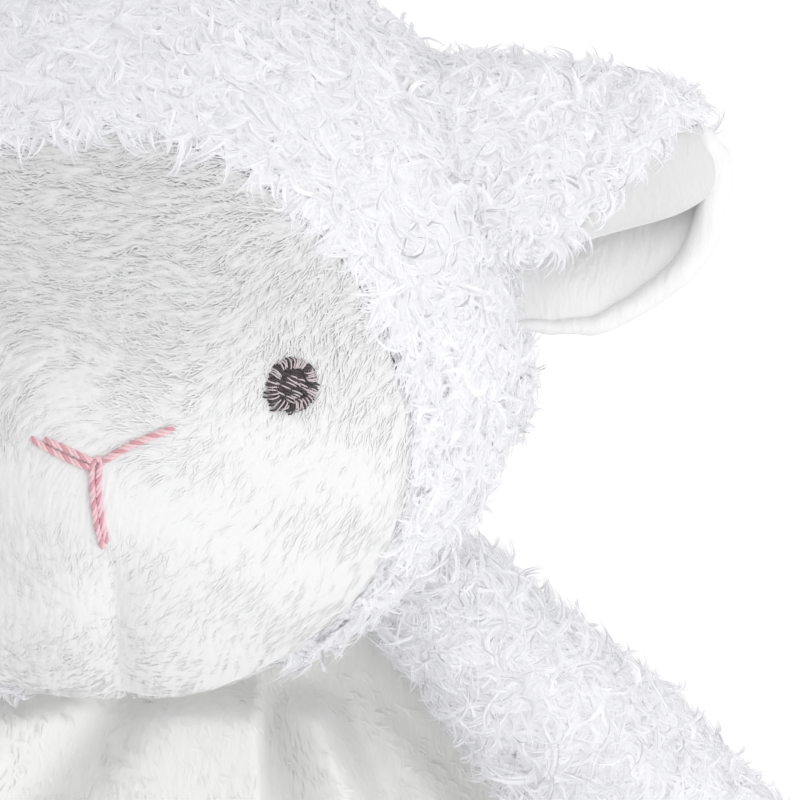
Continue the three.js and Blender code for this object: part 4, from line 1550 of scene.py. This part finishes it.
@dataclass
class Ear:
    """One ear, a round flap folded forward along its upper edge: fur outside, smooth lining inside.

    The outline is given from the middle of the head on the viewer's right, and mirrored for the other ear.

    Attributes:
        side: Side of the ear.
        looks: Materials by name.
        middle: Middle of the head, with the height of the ear.
        stations: Shares of the way from root to tip at which the outline is given.
        top: Outline of the fold.
        edge: Outline of the free edge of the folded flap.
        low: Outline of the lower rim.
        rim: Path and radius of the rolled edge of the lining.
        density: Locks on a square millimetre.
        hinge: Seam at the root, on the viewer's right.
        outward: Direction from the seam to the tip.
        fur_offset: Distance of the cloth under the fur from the middle of the ear's cloth.
        lining_offset: The same for the lining, on the other side.
    """

    side: Side
    looks: dict[str, bpy.types.Material]
    middle: Array = field(default_factory=lambda: np.array([0.0, 146.793, 40.6]))
    stations: Sequence[float] = (-0.5, 0.0, 0.35, 0.65, 0.85, 1.0)
    top: Sequence[tuple[float, float]] = (
        (35.0, 31.0), (47.0, 32.0), (57.0, 31.0), (66.0, 29.2), (71.5, 27.8), (74.6, 25.0)
    )
    edge: Sequence[tuple[float, float]] = (
        (45.0, 8.0), (57.0, 9.0), (64.0, 11.2), (70.0, 12.7), (74.0, 14.2), (77.3, 17.2)
    )
    low: Sequence[tuple[float, float]] = (
        (46.0, -0.5), (56.0, -1.0), (65.0, 0.2), (72.5, 5.0), (75.6, 10.6), (77.3, 17.0)
    )
    rim: Sequence[tuple[float, float, float, float]] = (
        (50.0, -0.6, 4.6, 0.3), (55.0, -1.2, 4.8, 0.9), (62.0, -1.2, 4.8, 1.3), (67.8, 2.1, 4.8, 1.5),
        (73.4, 6.4, 4.8, 1.8), (75.7, 10.6, 4.6, 2.0), (77.3, 17.2, 4.6, 2.1), (77.0, 20.4, 5.2, 1.9),
        (75.7, 22.7, 6.3, 1.5), (74.2, 24.5, 5.6, 0.8), (73.0, 25.4, 5.0, 0.1),
    )
    density: float = 1.05
    hinge: tuple[float, float, float] = (54.801, 159.553, 40.732)
    outward: tuple[float, float, float] = (0.9656, 0.2602, 0.0)
    fur_offset: float = 1.7
    lining_offset: float = 1.1

    @property
    def body(self) -> str:
        """Name of the body of the ear."""
        return f"ear_{self.side.word}"

    @property
    def mirror(self) -> Array:
        """Factors that bring places from the viewer's right to this side."""
        return np.array([self.side.value, 1.0, 1.0])

    @property
    def bend(self) -> Bend:
        """Soft seam at the root of the ear."""
        hinge = (self.side.value * self.hinge[0], *self.hinge[1:])
        outward = (self.side.value * self.outward[0], *self.outward[1:])
        return Bend("head", hinge, outward, 5.0)

    def build(self) -> None:
        """Build the lining, the cloth under the fur and the fur."""
        self.build_lining()
        self.build_rim()
        self.build_under_fur()
        self.build_fur()

    def middle_cloth(self, s: Array, q: Array) -> Array:
        """Place in the middle of the cloth.

        Args:
            s: Places along the ear, from 0 at the root to 1 at the tip.
            q: Places across it, 0 at the lower rim, about 0.5 at the fold, 1 at the free edge of the flap.

        Returns:
            Places in the frame of the toy, on the viewer's right.
        """
        lines = []
        for outline in (self.top, self.edge, self.low):
            axes = [softened(s, 0.2, self.stations, [spot[axis] for spot in outline]) for axis in range(2)]
            lines.append(np.stack(axes, axis=-1))
        top, edge, low = lines
        spots = np.array([-0.1, 0.0, 0.12, 0.30, 0.44, 0.50, 0.57, 0.75, 0.92, 1.0, 1.1])
        up = np.array([-0.12, 0.0, 0.20, 0.62, 0.93, 1.0, 0.90, 0.50, 0.12, 0.0, -0.06])
        rise = np.array([4.4, 4.0, 2.6, -0.2, -0.6, 3.0, 7.0, 8.8, 8.6, 7.6, 7.0])
        height = softened(q, 0.06, spots, rise)
        share = softened(q, 0.06, spots, up)
        flap = smooth(q, 0.42, 0.58)[..., None]
        foot = low * (1.0 - flap) + edge * flap
        flat = foot + (top - foot) * share[..., None]
        thin = 0.22 + 0.78 * np.sqrt(np.maximum(0.0, 1.0 - np.clip(s, 0.0, 1.0) ** 5))
        lifted = 2.0 + (height - 2.0) * thin
        return np.concatenate([flat, lifted[..., None]], axis=-1) + self.middle

    def point(self, s: Array, q: Array, offset: Array) -> Array:
        """Place on a layer of the ear.

        Args:
            s: Places along the ear.
            q: Places across it.
            offset: Distance from the middle of the cloth, towards the fur.

        Returns:
            Places in the frame of the toy.
        """
        step = 0.012
        tip = np.minimum(s, 0.985)
        one = self.middle_cloth(tip + step, q) - self.middle_cloth(tip - step, q)
        two = self.middle_cloth(tip, q + step) - self.middle_cloth(tip, q - step)
        outward = unit(np.cross(two, one))
        return (self.middle_cloth(s, q) + outward * offset[..., None]) * self.mirror

    def seam(self, s: Array) -> Array:
        """Place across the ear where the fur on the flap ends.

        Args:
            s: Places along the ear.

        Returns:
            Places across the ear.
        """
        return 0.99 - 0.40 * np.clip(s, 0.0, 1.0) ** 1.1

    def build_lining(self) -> None:
        """Build the lining: the inside, the rolled edge of the flap and the band on its outside, the last
        two with painted shade.
        """
        # Painted shade: the roll and the lit band on the flap's outside are darkened, so they look no
        # brighter than the hollow.
        roll_painted_shade, band_painted_shade = 0.92, 0.83
        s = np.linspace(-0.3, 1.0, 80)[:, None]
        inside = np.linspace(0.0, 1.0, 70)[None, :] + 0.0 * s
        roll = np.linspace(0.0, math.pi, 12)[None, 1:-1] + 0.0 * s
        band = np.linspace(0.0, 1.0, 26)[None, :]
        outside = 1.0 + (self.seam(s) - 0.02 - 1.0) * band
        q = np.concatenate([inside, 1.0 + 0.025 * np.sin(roll), outside], axis=1)
        puff = self.lining_offset + np.sin(math.pi * band) * smooth(s, 0.0, 0.5)
        lies = np.full_like(inside, -self.lining_offset)
        offset = np.concatenate([lies, -self.lining_offset * np.cos(roll), puff], axis=1)
        points = self.point(s + 0.0 * q, q, offset)
        points[..., 2] += 0.25 * ripple(points, 8.0, 61)
        flip = self.side is Side.RIGHT
        tones = ((inside, 1.0), (roll, roll_painted_shade), (outside, band_painted_shade))
        tone = np.concatenate([np.full_like(zone, level) for zone, level in tones], axis=1)
        closing = np.broadcast_to(points[-1:].mean(axis=1, keepdims=True), points[-1:].shape)
        points = np.concatenate([points, closing])
        tone = np.concatenate([tone, tone[-1:]])
        quads = grid_faces(len(points), q.shape[1])
        name = f"{self.body}_lining_cloth"
        cloth = mesh_piece(name, points, quads, self.looks["lining"], tone=tone, flip=flip)
        attach(cloth, self.body, self.bend)
        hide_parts(f"ear_{self.side.word}_lining")

    def build_rim(self) -> None:
        """Build the soft rolled edge of the lining, from the lower rim round the tip."""
        marks = np.linspace(0.0, 1.0, len(self.rim))
        fine = np.linspace(0.0, 1.0, 90)
        line = np.stack([np.interp(fine, marks, column) for column in np.array(self.rim).T], axis=-1)
        beyond = len(SOFTENING) // 2
        wide = np.pad(line, ((beyond, beyond), (0, 0)), mode="edge")
        line = np.stack([np.convolve(column, SOFTENING, "valid") for column in wide.T], axis=-1)
        path = (line[:, :3] + self.middle) * self.mirror
        points, quads = tubes(path[None], line[None, :, 3], 24)
        points = points + 0.15 * ripple(points, 4.0, 62)[:, None]
        name = f"{self.body}_lining_rim"
        rim = mesh_piece(name, points, quads, self.looks["lining"], tone=1.0)
        attach(rim, self.body, self.bend)

    def build_under_fur(self) -> None:
        """Build the cloth that carries the fur of the ear."""
        s = np.linspace(-0.45, 1.0, 66)[:, None]
        q = np.linspace(0.0, 1.0, 70)[None, :] * (self.seam(s) + 0.01)
        edge = np.maximum(1.0 - smooth(q, 0.0, 0.08), smooth(s + 0.0 * q, 0.93, 1.0))
        points = self.point(s + 0.0 * q, q, self.fur_offset - 2.8 * edge)
        flip = self.side is Side.LEFT
        quads = grid_faces(len(s), q.shape[1])
        cloth = mesh_piece(f"{self.body}_under_fur", points, quads, self.looks["under_fur"], flip=flip)
        attach(cloth, self.body, self.bend)
        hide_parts(f"ear_{self.side.word}_fur", f"ear_{self.side.word}_flap")

    def build_fur(self) -> None:
        """Grow curly locks over the back, the fold and the flap of the ear."""
        rng = np.random.default_rng(71 if self.side is Side.RIGHT else 72)
        length, breadth = 40.0, 62.0
        count = int(length * breadth * self.density)
        s = rng.uniform(-0.5, 0.93, count)
        low = 0.10 + 0.14 * np.clip(s, 0.0, 1.0)
        q = low + rng.uniform(0.0, 1.0, count) * (self.seam(s) - low)
        cloth = np.full(count, self.fur_offset)
        roots = self.point(s, q, cloth)
        normals = unit(self.point(s, q, cloth + 0.5) - roots)
        combs = np.array([0.3 * self.side.value, 0.2, 0.0]) + swirl(roots, 13.0, 74) * 0.9
        style = LockStyle(length=(4.5, 7.5))
        locks = style.grow(f"{self.body}_fur_locks", self.looks["fur"], roots, normals, combs, 73, 1.0)
        attach(locks, self.body, self.bend)


# Arms


@dataclass
class Arm:
    """One stuffed arm in fur.

    Attributes:
        side: Side of the arm.
        looks: Materials by name.
        shoulder: Hinge of the arm, on the viewer's right.
        length: Length from the hinge to the tip of the paw.
        shoulder_radius: Radius at the hinge.
        half_width: Largest half width.
        half_height: Largest half height.
        swell_run: Distance from the hinge in which the arm grows to its full size.
        floor: Height of the cloth that the arm lies on.
        root_inset: How far the roots of the fur lie inside the outline.
        density: Locks on a square millimetre.
    """

    side: Side
    looks: dict[str, bpy.types.Material]
    shoulder: Array = field(default_factory=lambda: np.array([42.99, 108.758, 15.1]))
    length: float = 72.0
    shoulder_radius: float = 10.0
    half_width: float = 13.3
    half_height: float = 11.8
    swell_run: float = 34.0
    floor: float = 4.1
    root_inset: float = 1.4
    density: float = 0.95

    @property
    def bend(self) -> Bend:
        """Soft seam at the shoulder."""
        hinge = (self.side.value * self.shoulder[0], self.shoulder[1], self.shoulder[2])
        return Bend("blanket", hinge, (self.side.value, -1.0, 0.0), 6.0)

    def size(self, along: Array, full: float, inset: float) -> Array:
        """Half size of the arm at places along it.

        Args:
            along: Distances from the hinge.
            full: Largest half size.
            inset: How far inside the outline.

        Returns:
            Half sizes.
        """
        shoulder = self.shoulder_radius - inset
        dome = np.sqrt(np.maximum(0.0, shoulder ** 2 - np.minimum(along, 0.0) ** 2))
        swollen = shoulder + (full - inset - shoulder) * smooth(along, 0.0, self.swell_run)
        paw = full - inset
        past = np.clip((along - (self.length - inset - paw)) / paw, 0.0, 1.0)
        return np.where(along <= 0.0, dome, swollen * np.sqrt(1.0 - past ** 2))

    def point(self, along: Array, turn: Array, inset: float) -> Array:
        """Place on the arm.

        Args:
            along: Distances from the hinge.
            turn: Turns round the arm, in radians.
            inset: How far inside the outline.

        Returns:
            Places in the frame of the toy.
        """
        axis = np.array([DIAGONAL, -DIAGONAL, 0.0])
        beside = np.array([DIAGONAL, DIAGONAL, 0.0])
        wide = self.size(along, self.half_width, inset) * np.cos(turn)
        places = self.shoulder + along[..., None] * axis + wide[..., None] * beside
        places[..., 2] += self.size(along, self.half_height, inset) * np.sin(turn)
        places[..., 2] = np.maximum(places[..., 2], self.floor + 0.3)
        places[..., 0] *= self.side.value
        return places

    def build(self) -> None:
        """Build the cloth of the arm and its fur."""
        self.build_cloth()
        self.build_fur()

    @property
    def body(self) -> str:
        """Name of the body of the arm."""
        return f"arm_{self.side.word}"

    @property
    def ends(self) -> tuple[float, float]:
        """Distances of the upper and the lower end of the cloth from the hinge."""
        inside = 0.01
        return inside - (self.shoulder_radius - self.root_inset), self.length - self.root_inset - inside

    def build_cloth(self) -> None:
        """Build the cloth that carries the fur of the arm."""
        rows, columns = 70, 60
        start, tip = self.ends
        along = (start + (tip - start) * (0.5 - 0.5 * np.cos(np.linspace(0.0, math.pi, rows))))[:, None]
        turn = np.linspace(0.0, FULL_TURN, columns + 1)[None, :-1]
        points = self.point(along + 0.0 * turn, turn + 0.0 * along, self.root_inset)
        points = points + 0.35 * ripple(points, 8.0, 81)[..., None] * np.array([0.5, 0.5, 0.7])
        points[..., 2] = np.maximum(points[..., 2], self.floor)
        flip = self.side is Side.LEFT
        quads = grid_faces(rows, columns, True)
        cloth = mesh_piece(f"{self.body}_under_fur", points, quads, self.looks["under_fur"], flip=flip)
        attach(cloth, self.body, self.bend)
        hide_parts(f"{self.body}_sleeve", f"{self.body}_stuffing")

    def build_fur(self) -> None:
        """Grow curly locks all round the arm."""
        start, tip = self.ends
        rng = np.random.default_rng(82 if self.side is Side.RIGHT else 83)
        count = int((self.length + 8.0) * FULL_TURN * self.half_width * self.density * 1.05)
        along = start + (tip - start) * rng.uniform(0.0, 1.0, count)
        turn = rng.uniform(-0.5 * math.pi, 1.5 * math.pi, count)
        roots = self.point(along, turn, self.root_inset)
        middle = self.point(along, turn, self.root_inset + 2.0)
        normals = unit(roots - middle)
        axis = np.array([DIAGONAL * self.side.value, -DIAGONAL, 0.1])
        combs = axis[None, :] * 0.45 + np.zeros((count, 3))
        name = f"{self.body}_fur_locks"
        locks = LockStyle().grow(name, self.looks["fur"], roots, normals, combs, 84, self.floor)
        attach(locks, self.body, self.bend)


# Blanket


@dataclass(frozen=True)
class FoldLine:
    """One groove that spreads from the neck.

    Attributes:
        neck_share: Place at the neck, as a share of its half width.
        turn_deg: Direction, from straight down towards the viewer's right.
        left: Half width at the neck on the viewer's left.
        right: Half width at the neck on the viewer's right.
        depth: Share of the height that the groove takes away.
    """

    neck_share: float
    turn_deg: float
    left: float = 3.0
    right: float = 3.0
    depth: float = 1.0


@dataclass
class Blanket:
    """The plush square, gathered at the neck.

    Attributes:
        looks: Materials by name.
        side: Side of the square.
        corner_y: Place of the held corner.
        collar_y: Middle of the neck roll.
        collar_z: Height of the middle of the neck roll.
        collar_radius: Radius of the neck roll.
        collar_half_length: Half length of the neck roll.
        fold_height: Height of the puffed folds.
        folds: Grooves between the folds.
        groove_shade: Painted shade: how much darker the pile is made in a groove.
        front_top: Height of the upper side of the front layer.
        hem_radius: Radius and height of the rolled hem.
    """

    looks: dict[str, bpy.types.Material]
    side: float = 250.0
    corner_y: float = 148.793
    collar_y: float = 105.51
    collar_z: float = 8.3
    collar_radius: float = 4.2
    collar_half_length: float = 25.0
    fold_height: float = 9.0
    folds: Sequence[FoldLine] = (
        FoldLine(-0.55, -46.0, 4.0, 1.5),
        FoldLine(0.10, -42.0, 2.6, 3.4, 0.6),
        FoldLine(0.48, 3.0, 0.6, 3.6),
        FoldLine(0.70, 25.0, 2.4, 2.4, 0.8),
    )
    groove_shade: float = 0.09
    front_top: float = 3.7
    hem_radius: float = 1.8

    @property
    def neck_half(self) -> float:
        """Half width of the blanket at the neck."""
        return self.corner_y - self.collar_y - self.collar_radius

    @property
    def neck_y(self) -> float:
        """Place of the lower edge of the neck roll."""
        return self.collar_y - self.collar_radius

    def height(self, x: Array, y: Array) -> Array:
        """Height of the cloth over the table.

        Args:
            x: Places across.
            y: Places up the blanket.

        Returns:
            Heights.
        """
        down = self.neck_y - y
        rise = smooth(down, 1.5, 8.0)
        fall = 1.0 - smooth(down, 9.4, 129.4)
        from_edge = (self.corner_y - np.abs(x) - y) / math.sqrt(2.0)
        inside = smooth(from_edge, 12.0, 24.0)
        places = np.stack([x, y, np.zeros_like(x)], axis=-1)
        soft = 0.35 * smooth(down, 0.0, 30.0) * (1.0 + ripple(places, 34.0, 91))
        raised = self.fold_height * rise * fall * inside * (1.0 - self.grooves(x, y))
        return raised + soft * (0.3 + 0.7 * inside)

    def grooves(self, x: Array, y: Array) -> Array:
        """Depth of the grooves between the folds.

        Args:
            x: Places across.
            y: Places up the blanket.

        Returns:
            Shares of the height of the folds.
        """
        down = self.neck_y - y
        grooves = np.zeros_like(x)
        for line in self.folds:
            turn = math.radians(line.turn_deg)
            off = x - line.neck_share * self.neck_half
            along = off * math.sin(turn) + down * math.cos(turn)
            across = off * math.cos(turn) - down * math.sin(turn)
            width = np.where(across < 0.0, line.left, line.right) * (1.0 + 0.03 * np.maximum(0.0, along))
            grooves = np.maximum(grooves, line.depth * np.exp(-((across / width) ** 2)))
        return grooves

    def pile_tone(self, points: Array) -> Array:
        """Painted shade: the pile is made greyer in the grooves between the folds, fading far from the neck.

        Args:
            points: Places on the blanket.

        Returns:
            Brightness, 1 on the ridges.
        """
        x = points[..., 0]
        y = points[..., 1]
        far = smooth(self.collar_y - y, 60.0, 150.0)
        # Painted shade in the grooves, fading away from the neck.
        return 1.0 - self.groove_shade * self.grooves(x, y) * (1.0 - far)

    def layer(self, lift: float, rows: int, columns: int) -> Array:
        """Grid of places on a layer of the blanket.

        Args:
            lift: Height of the layer over the underside.
            rows: Rows from the neck to the lower edges.
            columns: Columns from the left edge to the right edge.

        Returns:
            Grid, rows by columns by 3.
        """
        half = self.side / math.sqrt(2.0)
        corner_radius = 20.0
        cut = corner_radius * (math.sqrt(2.0) - 1.0)
        start_y = self.collar_y + self.collar_radius
        t = (np.linspace(0.0, 1.0, rows) ** 1.5)[:, None]
        s = np.linspace(-1.0, 1.0, columns)[None, :]
        edge_x = s * (half - cut)
        edge_y = self.corner_y - 2.0 * half + np.hypot(edge_x, cut)
        x = self.neck_half * s * (1.0 - t) + edge_x * t
        y = start_y * (1.0 - t) + edge_y * t
        return np.stack([x, y, self.height(x, y) + lift], axis=-1)

    def build(self) -> None:
        """Build both layers, the hem and the neck roll."""
        front = self.build_layer("front", 1.9, self.front_top)
        back = self.build_layer("back", 0.05, 1.7)
        self.build_hem()
        self.build_collar()
        self.build_nap()

    def build_nap(self) -> None:
        """Lay tufts of brushed pile over the upper layer, closest together near the neck."""
        rng = np.random.default_rng(95)
        count = 60000
        margin = 12.0
        half = self.side / math.sqrt(2.0) - margin
        x = rng.uniform(-half, half, count)
        y = rng.uniform(self.corner_y - 2.0 * half - margin, self.neck_y, count)
        inside = np.abs(x) + np.abs(y - (self.corner_y - self.side / math.sqrt(2.0))) < half - 4.0
        away = np.hypot(x * 0.6, self.collar_y - y)
        places = np.stack([x, y, np.zeros(count)], axis=-1)
        patchy = smooth(ripple(places, 9.0, 96), -0.6, 0.5)
        density = (0.12 + 0.88 * (1.0 - smooth(away, 35.0, 70.0))) * (0.35 + 0.65 * patchy)
        kept = inside & (rng.uniform(size=count) < density)
        x = x[kept]
        y = y[kept]
        step = 0.4
        slope_x = (self.height(x + step, y) - self.height(x - step, y)) / (2.0 * step)
        slope_y = (self.height(x, y + step) - self.height(x, y - step)) / (2.0 * step)
        normals = unit(np.stack([-slope_x, -slope_y, np.ones_like(x)], axis=-1))
        roots = np.stack([x, y, self.height(x, y) + self.front_top], axis=-1)
        combs = unit(np.stack([0.35 + x / 60.0, np.full_like(x, -0.8), np.zeros_like(x)], axis=-1))
        style = NapStyle(length=(1.3, 2.4), width=0.5, rise=0.36, scatter=0.3)
        points, quads, shaded = style.grow(roots, normals, combs, 97, 0.4 + 0.6 * patchy[kept])
        LOG.info("blanket nap: %d tufts", len(roots))
        # The tufts carry the painted shade of the grooves.
        tone = np.repeat(self.pile_tone(roots), len(points) // len(roots))
        nap = mesh_piece("blanket_front_nap", points, quads, self.looks["blanket_nap"], shaded, tone)
        attach(nap, "blanket")

    def build_layer(self, word: str, bottom: float, top: float) -> bpy.types.Object:
        """Build one layer of cloth.

        Args:
            word: Which layer.
            bottom: Height of its underside over the table.
            top: Height of its upper side.

        Returns:
            The piece.
        """
        rows, columns = 150, 181
        points, faces = thick_sheet(self.layer(top, rows, columns), self.layer(bottom, rows, columns))
        # Painted shade in the grooves, carried as tone.
        tone = self.pile_tone(points)
        piece = mesh_piece(f"blanket_{word}_cloth", points, faces, self.looks["blanket"], tone=tone)
        attach(piece, "blanket")
        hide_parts(f"blanket_{word}")
        return piece

    def build_hem(self) -> None:
        grid = self.layer(self.hem_radius, 60, 121)
        path = np.concatenate([grid[:, 0], grid[-1, 1:], grid[-2::-1, -1]])[None]
        points, quads = tubes(path, self.hem_radius, 10)
        hem = mesh_piece("blanket_hem", points, quads, self.looks["blanket"], tone=1.0)
        attach(hem, "blanket")

    def build_collar(self) -> None:
        """Build the gathered roll under the chin with its pleats, and its thread."""
        rows, columns = 140, 40
        pleat_depth = 0.14
        part = np.linspace(-1.0, 1.0, rows)[:, None]
        turn = np.linspace(0.0, FULL_TURN, columns + 1)[None, :-1]
        pleats = 0.3 * np.sin(part * 29.0 + 2.0 * np.sin(part * 5.0)) + 0.3 * np.sin(part * 17.0 + 1.0)
        ends = np.sqrt(np.maximum(0.0, 1.0 - part ** 8))
        radius = (self.collar_radius - 0.5) * ends * (1.0 + pleat_depth * pleats)
        x = self.collar_half_length * part + 0.0 * turn
        y = self.collar_y + radius * np.sin(turn)
        z = self.collar_z + radius * np.cos(turn)
        points = np.stack([x, y, z], axis=-1)
        quads = grid_faces(rows, columns, True)
        roll = mesh_piece("neck_roll", points, quads, self.looks["blanket"], tone=1.0, flip=True)
        attach(roll, "blanket")
        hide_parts("neck_collar")
        self.build_gathering()

    def build_gathering(self) -> None:
        """Build the thread that draws the neck together, in gentle waves."""
        radius = 0.35
        height = 4.65
        wave = 1.3
        x = np.linspace(-self.collar_half_length, self.collar_half_length, 120)
        y = self.neck_y - 0.8 + 0.15 * np.sin(x * wave)
        z = height + 0.2 * np.sin(x * wave + 1.0)
        path = np.stack([x, y, z], axis=-1)[None]
        points, quads = tubes(path, radius, 6)
        thread = mesh_piece("neck_gathering_stitches", points, quads, self.looks["thread"])
        attach(thread, "blanket")
        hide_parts("neck_gathering_thread")


# Studio


@dataclass
class Studio:
    """Floor, light and camera.

    Attributes:
        target: Place in the middle of the photo, in millimetres.
        distance: Height of the camera over the target.
        lens: Focal length.
    """

    target: tuple[float, float, float] = (36.9, 136.3, 58.0)
    distance: float = 694.0
    lens: float = 250.0

    def build(self) -> None:
        """Build the whole studio."""
        self.build_floor()
        self.build_lights()
        self.build_camera()

    def build_floor(self) -> None:
        """Build a white floor that keeps a faint shadow."""
        size = 4000.0
        low = -0.05
        white_share, white_strength = 0.8, 1.1
        corners = np.array([[-size, -size, low], [size, -size, low], [size, size, low], [-size, size, low]])
        material = bpy.data.materials.new("floor")
        material.use_nodes = True
        nodes = material.node_tree.nodes
        wiring = Wiring(material.node_tree)
        shader = nodes["Principled BSDF"]
        wiring.feed(shader.inputs["Base Color"], (0.92, 0.92, 0.92, 1.0))
        wiring.feed(shader.inputs["Roughness"], 0.9)
        seen = wiring.add("ShaderNodeLightPath").outputs["Is Camera Ray"]
        white = wiring.add("ShaderNodeEmission", WHITE, white_strength).outputs["Emission"]
        surface = wiring.mix(wiring.work("MULTIPLY", seen, white_share), shader.outputs["BSDF"], white)
        wiring.feed(nodes["Material Output"].inputs["Surface"], surface)
        floor = mesh_piece("floor", corners, np.array([[0, 1, 2, 3]]), material)

    def lamp(self, name: str, place: Array, aim: Array, size: float, power: float) -> None:
        """Hang one square soft lamp.

        Args:
            name: Name of the lamp.
            place: Place in metres.
            aim: Place that it shines at, in metres.
            size: Side of the lamp in metres.
            power: Power in watts.
        """
        data = bpy.data.lights.new(name, "AREA")
        data.shape = "SQUARE"
        data.size = size
        data.energy = power
        lamp = bpy.data.objects.new(name, data)
        lamp.location = place
        look = np.asarray(aim) - np.asarray(place)
        pitch = math.atan2(math.hypot(look[0], look[1]), -look[2])
        lamp.rotation_euler = (pitch, 0.0, math.atan2(-look[0], look[1]))
        bpy.context.collection.objects.link(lamp)

    def build_lights(self) -> None:
        """Set soft light from above and from the crown side."""
        aim = np.array([0.02, 0.12, 0.04])
        self.lamp("key", np.array([0.75, -0.35, 0.85]), aim, 1.1, 5.7)
        self.lamp("fill", np.array([0.1, 0.7, 0.9]), aim, 1.2, 2.0)
        world = bpy.data.worlds.new("studio")
        bpy.context.scene.world = world
        world.use_nodes = True
        light_level, extra_seen = 0.75, 0.35
        wiring = Wiring(world.node_tree)
        sky = world.node_tree.nodes["Background"]
        seen = wiring.add("ShaderNodeLightPath").outputs["Is Camera Ray"]
        wiring.feed(sky.inputs["Color"], WHITE)
        wiring.feed(sky.inputs["Strength"], wiring.work("MULTIPLY_ADD", seen, extra_seen, light_level))

    def build_camera(self) -> None:
        """Set the camera over the face, as in the photo."""
        data = bpy.data.cameras.new("camera")
        data.lens = self.lens
        data.sensor_width = 36.0
        camera = bpy.data.objects.new("camera", data)
        place = np.array(self.target) + np.array([0.0, 0.0, self.distance])
        camera.location = place * MM
        bpy.context.collection.objects.link(camera)
        bpy.context.scene.camera = camera
        bpy.context.scene.view_settings.view_transform = "Standard"


def main() -> None:
    """Build the toy and its studio in order."""
    logging.basicConfig(level=logging.INFO, format="%(name)s: %(message)s")
    looks = Wardrobe().materials()
    form = HeadForm()
    Studio().build()
    Blanket(looks).build()
    for side in Side:
        Arm(side, looks).build()
        Ear(side, looks).build()
    Head(form, looks).build()


if __name__ == "__main__":
    main()
